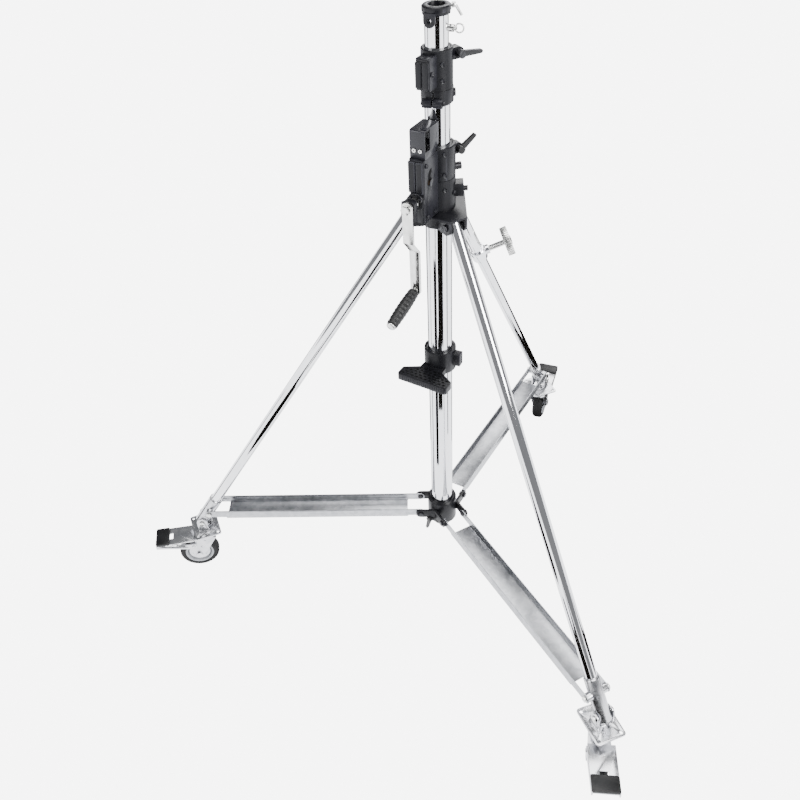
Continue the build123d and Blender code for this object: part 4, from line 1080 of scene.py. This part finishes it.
@dataclass
class FootStep:
    """Clamp-on step with a pitted tread and a ribbed toe edge."""

    top: float = 655.0
    reach: float = 84.0
    half_width: float = 57.0
    neck_radius: float = 37.0
    neck_half: float = 20.0
    flare_radius: float = 60.0
    first_row: float = 44.0
    rows: int = 5
    margin: float = 7.0
    pit_r: float = 2.0
    pitch: float = 10.5
    rib_pitch: float = 5.0
    screw_radius: float = 42.0
    screw_side: float = 8.0
    screw_heights: tuple[float, float] = (657.0, 673.0)

    def build(self, screw: SocketScrew) -> None:
        """Make the step.

        Args:
            screw: the cap screw to copy.
        """
        softened("foot_step", POWDER, 1.2)
        self.pits()
        self.toe_ribs()
        face = outward(Side.WINCH.value - 90.0)
        spots = [
            (place(Side.WINCH.value + 180.0, self.screw_radius, height, self.screw_side), face)
            for height in self.screw_heights
        ]
        screw.drive(spots, "step_cap_screws", "column", ENAMEL)

    def pits(self) -> None:
        """Staggered rows of long pits in the tread, each a thin rounded oval in flat black: painted shade
        standing in for the dark inside each pit.
        """
        deselect()
        bpy.ops.mesh.primitive_cylinder_add(vertices=16, radius=self.pit_r * MM, depth=0.3 * MM)
        pit = bpy.context.object
        pit.scale = (1.0, 1.75, 1.0)
        settle(pit)
        modify(pit, "BEVEL", width=0.1 * MM, segments=1, limit_method="ANGLE")
        copies = []
        turn = Matrix.Rotation(math.radians(Side.WINCH.value), 4, "Z")
        for row in range(self.rows):
            radius = self.first_row + row * self.pitch * 0.72
            flare = (radius - self.neck_radius) / (self.flare_radius - self.neck_radius)
            spread = self.neck_half + flare * (self.half_width - self.neck_half)
            reach = min(spread, self.half_width) - self.margin
            count = int(2 * reach // self.pitch)
            shift = 0.5 * (row % 2)
            for column in range(count + 1):
                side = (column - count / 2 + shift) * self.pitch
                if abs(side) <= reach:
                    spot = Matrix.Translation(Vector((radius, side, self.top + 0.1)) * MM)
                    copies.append(copy_to(pit, turn @ spot))
        bpy.data.objects.remove(pit)
        # Painted shade: the flat ovals stand in for the dark inside the pits.
        mount(join(copies), "tread_pits", "column", SHADOW)

    def toe_ribs(self) -> None:
        """Fine upright ribs along the step's outer edge."""
        deselect()
        bpy.ops.mesh.primitive_cube_add(size=1.0)
        rib = bpy.context.object
        rib.scale = Vector((1.2, 2.2, 10.0)) * MM
        settle(rib)
        modify(rib, "BEVEL", width=0.5 * MM, segments=2, limit_method="ANGLE")
        copies = []
        turn = Matrix.Rotation(math.radians(Side.WINCH.value), 4, "Z")
        count = int((self.half_width - 9.0) // self.rib_pitch)
        for column in range(-count, count + 1):
            spot = Matrix.Translation(Vector((self.reach, column * self.rib_pitch, self.top - 7.5)) * MM)
            copies.append(copy_to(rib, turn @ spot))
        bpy.data.objects.remove(rib)
        mount(join(copies), "toe_ribs", "column", POWDER)


@dataclass
class Hub:
    """Sliding hub casting with its brace ears, rivets and clamp lever."""

    def build(self, screw: SocketScrew) -> None:
        """Make the hub.

        Args:
            screw: the cap screw to copy.
        """
        softened("hub_casting", POWDER, 1.4)
        softened("hub_bolts", ENAMEL, 0.5, parts=lambda size: None)
        softened("hub_lever", NYLON, 1.0)
        spots = [(place(azimuth, 33.7, 178.0), outward(azimuth)) for azimuth in (262.0, 20.0, 120.0)]
        screw.drive(spots, "hub_cap_screws", "hub", ENAMEL)


@dataclass
class LegSet:
    """Legs, braces and forged ends, with the levelling sleeve on one leg."""

    cap_reach: float = 72.0
    cap_r: float = 11.0
    cap_flatness: float = 0.22

    def build(self) -> None:
        """Dress the legs and soften their ends."""
        for suffix in LEGS:
            keep(f"leg_tube_{suffix}", CHROME)
            softened(f"brace_{suffix}", GALVANISED, 0.5)
            softened(f"leg_socket_{suffix}", ZINC, 0.8, parts=self.bolt_finish)
        softened("level_sleeve", CHROME, 0.8, parts=self.sleeve_finish)
        softened("level_knob", NICKEL, 0.5)
        self.knob_cap()

    @staticmethod
    def bolt_finish(size: Vector) -> Optional[Finish]:
        """The cross bolts are brighter than the forging."""
        return NICKEL if size.length < 75 * MM else None

    @staticmethod
    def sleeve_finish(size: Vector) -> Optional[Finish]:
        """The clamp at the sleeve's end is a black casting."""
        return POWDER if size.length < 120 * MM else None

    def knob_cap(self) -> None:
        """Domed cap in the middle of the levelling knob."""
        root, direction = joint_line("level_knob_turn")
        face = root + direction * self.cap_reach * MM
        deselect()
        bpy.ops.mesh.primitive_uv_sphere_add(segments=32, ring_count=12, radius=self.cap_r * MM)
        cap = bpy.context.object
        cap.scale = (1.0, 1.0, self.cap_flatness)
        settle(cap)
        only(cap)
        bpy.ops.object.mode_set(mode="EDIT")
        bpy.ops.mesh.select_all(action="SELECT")
        bpy.ops.mesh.bisect(plane_co=(0, 0, -0.0002), plane_no=(0, 0, 1), clear_inner=True, use_fill=True)
        end_edit()
        cap.data.transform(facing(face, direction))
        mount(cap, "knob_cap", "level_knob", NICKEL, 50.0)


@dataclass
class Caster:
    """One braked swivel caster and the foot plate that it hangs from."""

    suffix: str
    azimuth: float
    tyre_r: float = 50.0
    rim_r: float = 36.0
    width: float = 28.0
    cheek_half: float = 20.0
    rivet_r: float = 3.2
    bead_r: float = 1.5
    bead_length: float = 26.0
    bead_out: float = 600.0
    bead_height: float = 135.2
    bead_side: float = 20.2

    def axle(self) -> tuple[Vector, Vector]:
        """Centre of the axle and its direction."""
        return joint_line(f"wheel_spin_{self.suffix}")

    def build(self) -> None:
        """Make the caster's pieces."""
        s = self.suffix
        softened(f"foot_plate_{s}", ZINC, 0.7)
        softened(f"caster_fork_{s}", ZINC, 0.8, parts=lambda size: None)
        softened(f"brake_lever_{s}", ZINC, 0.6, parts=self.pad_finish)
        self.wheel()
        self.rivets()
        self.weld_beads()

    @staticmethod
    def pad_finish(size: Vector) -> Optional[Finish]:
        """The flat pad is black nylon; the pressed lever is zinc."""
        return NYLON if size.z < 10 * MM else None

    def ring(self, profile: list[tuple[float, float]], steps: int = 64) -> bpy.types.Object:
        """Turn a closed profile of radius and width, in millimetres, about Z.

        Args:
            profile: corners of the section, going round it once.
            steps: facets of the full turn.

        Returns:
            The turned ring, centred at the origin.
        """
        section = outline([Vector((radius, 0.0, width)) * MM for radius, width in profile], "NOTHING")
        only(section)
        bpy.ops.object.mode_set(mode="EDIT")
        bpy.ops.mesh.select_all(action="SELECT")
        bpy.ops.mesh.spin(steps=steps, angle=2 * math.pi, center=(0, 0, 0), axis=(0, 0, 1))
        bpy.ops.mesh.select_all(action="SELECT")
        bpy.ops.mesh.remove_doubles(threshold=1e-6)
        bpy.ops.mesh.normals_make_consistent(inside=False)
        end_edit()
        return section

    def wheel(self) -> None:
        """Tyre with a shouldered tread, grey bead ring and dished centre."""
        s = self.suffix
        spot, direction = self.axle()
        to_axle = facing(spot, direction)
        half = self.width / 2
        tyre = self.ring([
            (self.rim_r, -half + 1.0), (39.0, -half), (43.0, -half), (47.0, -half + 2.2), (49.3, -half + 5.5),
            (self.tyre_r, -4.5), (49.2, -3.6), (49.2, -2.6), (self.tyre_r, -1.7),
            (self.tyre_r, 1.7), (49.2, 2.6), (49.2, 3.6), (self.tyre_r, 4.5),
            (49.3, half - 5.5), (47.0, half - 2.2), (43.0, half), (39.0, half), (self.rim_r, half - 1.0),
        ])
        tyre.data.transform(to_axle)
        mount(tyre, f"tyre_tread_{s}", f"wheel_{s}", TYRE, 40.0)
        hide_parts(f"tyre_{s}")
        hub = self.ring([
            (29.5, -8.0), (31.0, -12.6), (34.0, -13.4), (self.rim_r, -12.8),
            (self.rim_r, 12.8), (34.0, 13.4), (31.0, 12.6), (29.5, 8.0),
        ])
        hub.data.transform(to_axle)
        modify(hub, "BEVEL", width=0.4 * MM, segments=2, limit_method="ANGLE", angle_limit=math.radians(25))
        mount(hub, f"wheel_centre_{s}", f"wheel_{s}", POLYMER, 40.0)
        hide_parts(f"wheel_hub_{s}")
        dish = self.ring([
            (6.1, -16.5), (11.0, -16.5), (12.5, -12.5), (20.0, -9.0), (26.5, -9.5), (28.6, -7.0),
            (28.6, 7.0), (26.5, 9.5), (20.0, 9.0), (12.5, 12.5), (11.0, 16.5), (6.1, 16.5),
        ])
        dish.data.transform(to_axle)
        modify(dish, "BEVEL", width=0.4 * MM, segments=2, limit_method="ANGLE", angle_limit=math.radians(25))
        mount(dish, f"wheel_dish_{s}", f"wheel_{s}", ZINC, 40.0)
        self.shadow_ring(to_axle)

    def shadow_ring(self, to_axle: Matrix) -> None:
        """Painted shade ring: a thin flat-black band in the gap between the dish and the rim, standing in for
        its shadow.

        Args:
            to_axle: puts a ring turned about Z on the axle.
        """
        ring = self.ring([(28.6, -6.5), (29.5, -6.5), (29.5, 6.5), (28.6, 6.5)])
        ring.data.transform(to_axle)
        # Painted shade: the flat black ring stands in for the shadow in the gap.
        mount(ring, f"gap_shade_ring_{self.suffix}", f"wheel_{self.suffix}", SHADOW, 40.0)

    def rivets(self) -> None:
        """Rivet heads on the fork's cheeks."""
        spot, direction = self.axle()
        swivel = joint_line(f"swivel_{self.suffix}")[0] * Vector((1.0, 1.0, 0.0))
        along = outward(self.azimuth)
        deselect()
        bpy.ops.mesh.primitive_uv_sphere_add(segments=16, ring_count=8, radius=self.rivet_r * MM)
        head = bpy.context.object
        head.scale = (1.0, 1.0, 0.5)
        settle(head)
        copies = []
        for sign in (-1, 1):
            for trail, height in ((8.0, 98.0), (20.0, 78.0)):
                point = swivel + along * trail * MM + direction * sign * self.cheek_half * MM
                point += Vector((0, 0, height * MM))
                copies.append(copy_to(head, facing(point, direction * sign)))
        bpy.data.objects.remove(head)
        mount(join(copies), f"fork_rivets_{self.suffix}", f"caster_{self.suffix}", ZINC, 60.0)

    def weld_beads(self) -> None:
        """Fillet welds where the ears stand on the foot plate."""
        leg = LEGS[self.suffix].value
        copies = []
        for sign in (-1, 1):
            deselect()
            bpy.ops.mesh.primitive_cylinder_add(
                vertices=16, radius=self.bead_r * MM, depth=self.bead_length * MM
            )
            bead = bpy.context.object
            pick_faces(bead, lambda f: abs(f.normal.z) > 0.9)
            bpy.ops.mesh.bevel(offset=0.9 * MM, segments=3, affect="EDGES")
            end_edit()
            spot = place(leg, self.bead_out, self.bead_height, sign * self.bead_side)
            bead.data.transform(facing(spot, outward(leg)))
            copies.append(bead)
        mount(join(copies), f"plate_welds_{self.suffix}", f"foot_{self.suffix}", ZINC, 60.0)


# ---- studio -------------------------------------------------------------------------------
@dataclass
class Studio:
    """White floor, soft panels, dark cards for the chrome to reflect, and the camera."""

    eye: tuple[float, float, float] = (-0.0275, -1.4098, 1.7714)
    yaw: float = 0.0926
    pitch: float = 0.6741
    roll: float = -0.0820
    lens: float = 38.185
    shift_x: float = 0.0425
    shift_y: float = -0.0423
    room: float = 0.35
    backdrop: float = 7.0
    floor_light: float = 3.4

    def build(self) -> None:
        """Set up the whole studio."""
        self.camera()
        self.world()
        self.floor()
        self.panels()
        self.cards()

    def camera(self) -> None:
        """Camera at standing eye height, looking down on the stand."""
        data = bpy.data.cameras.new("camera")
        data.lens = self.lens
        data.sensor_width = 36.0
        data.shift_x = self.shift_x
        data.shift_y = self.shift_y
        camera = bpy.data.objects.new("camera", data)
        turn = Matrix.Rotation(self.yaw, 4, "Z") @ Matrix.Rotation(math.pi / 2 - self.pitch, 4, "X")
        camera.matrix_world = Matrix.Translation(self.eye) @ turn @ Matrix.Rotation(self.roll, 4, "Z")
        bpy.context.scene.collection.objects.link(camera)
        bpy.context.scene.camera = camera

    def world(self) -> None:
        """Dim grey room."""
        world = bpy.data.worlds.new("studio_room")
        world.use_nodes = True
        tree = world.node_tree
        tree.nodes.clear()
        room = add_node(tree, "ShaderNodeBackground", {"Color": linear("e6e8ec"), "Strength": self.room})
        add_node(tree, "ShaderNodeOutputWorld", {"Surface": room.outputs[0]})
        bpy.context.scene.world = world

    @staticmethod
    def glow(name: str, colour: str, strength: float) -> bpy.types.Material:
        """Evenly lit paper.

        Args:
            name: the material's name.
            colour: hex colour.
            strength: how bright it is.

        Returns:
            An emitting material.
        """
        material = bpy.data.materials.new(name)
        material.use_nodes = True
        tree = material.node_tree
        tree.nodes.clear()
        light = add_node(tree, "ShaderNodeEmission", {"Color": linear(colour), "Strength": strength})
        add_node(tree, "ShaderNodeOutputMaterial", {"Surface": light.outputs[0]})
        return material

    def sheet(self, name: str, corners: list[Vector], material: bpy.types.Material) -> bpy.types.Object:
        """A flat piece of the studio.

        Args:
            name: the piece's name.
            corners: its corners in metres, going round once.
            material: its surface.

        Returns:
            The piece.
        """
        piece = outline(corners, "NGON")
        piece.name = name
        piece.data.materials.append(material)
        return piece

    def floor(self) -> None:
        """White sweep behind the stand, and the lit floor that its metal reflects."""
        half = 20.0
        square = [Vector((x * half, y * half, 0.0)) for x, y in ((-1, -1), (1, -1), (1, 1), (-1, 1))]
        backdrop = self.sheet("backdrop", square, self.glow("white_sweep", "ffffff", self.backdrop))
        backdrop.visible_diffuse = False
        backdrop.visible_glossy = False
        backdrop.visible_shadow = False
        below = [corner - Vector((0, 0, 0.002)) for corner in square]
        lit = self.sheet("lit_floor", below, self.glow("lit_paper", "f6f7fa", self.floor_light))
        lit.visible_camera = False
        lit.visible_shadow = False

    def panels(self) -> None:
        """Large soft lights round the stand."""
        for name, azimuth, distance, height, size, power in (
            ("key_panel", 318.0, 2.4, 2.3, 1.5, 120.0),
            ("fill_panel", 205.0, 2.8, 2.2, 1.4, 45.0),
            ("back_panel", 70.0, 3.0, 2.6, 2.0, 80.0),
            ("top_panel", 0.0, 0.01, 4.0, 2.4, 120.0),
        ):
            data = bpy.data.lights.new(name, "AREA")
            data.shape = "SQUARE"
            data.size = size
            data.energy = power
            light = bpy.data.objects.new(name, data)
            spot = outward(azimuth) * distance + Vector((0, 0, height))
            aim = Vector((0, 0, 0.7)) - spot
            light.matrix_world = Matrix.Translation(spot) @ aim.to_track_quat("-Z", "Y").to_matrix().to_4x4()
            bpy.context.scene.collection.objects.link(light)

    def cards(self) -> None:
        """Dark cards seen only in reflections, which give the chrome its bands."""
        black = self.glow("black_card", "16140f", 0.6)
        for number, (start, end, near, far) in enumerate((
            (254.0, 300.0, 0.95, 6.0), (216.0, 242.0, 0.38, 1.5), (246.0, 286.0, 0.62, 1.0),
            (40.0, 66.0, 0.45, 6.0), (112.0, 140.0, 0.45, 6.0), (335.0, 345.0, 0.5, 6.0),
            (172.0, 182.0, 0.5, 6.0),
        )):
            steps = 4
            rim = [outward(start + (end - start) * i / steps) for i in range(steps + 1)]
            corners = [d * near for d in rim] + [d * far for d in reversed(rim)]
            corners = [corner + Vector((0, 0, 0.0005 * (number + 1))) for corner in corners]
            card = self.sheet(f"reflection_card_{number}", corners, black)
            card.visible_camera = False
            card.visible_diffuse = False
            card.visible_shadow = False


def main() -> None:
    """Build the studio and every sub-assembly."""
    logging.basicConfig(level=logging.INFO, format="%(message)s")
    Studio().build()
    screw = SocketScrew()
    screw.build()
    Mast().build()
    Winch().build(screw)
    Collar().build(screw)
    TopFitting().build()
    FootStep().build(screw)
    Hub().build(screw)
    LegSet().build()
    for suffix, azimuth in CASTER_TRAIL_AZIMUTH.items():
        Caster(suffix, azimuth).build()
    screw.discard()


if __name__ == "__main__":
    main()
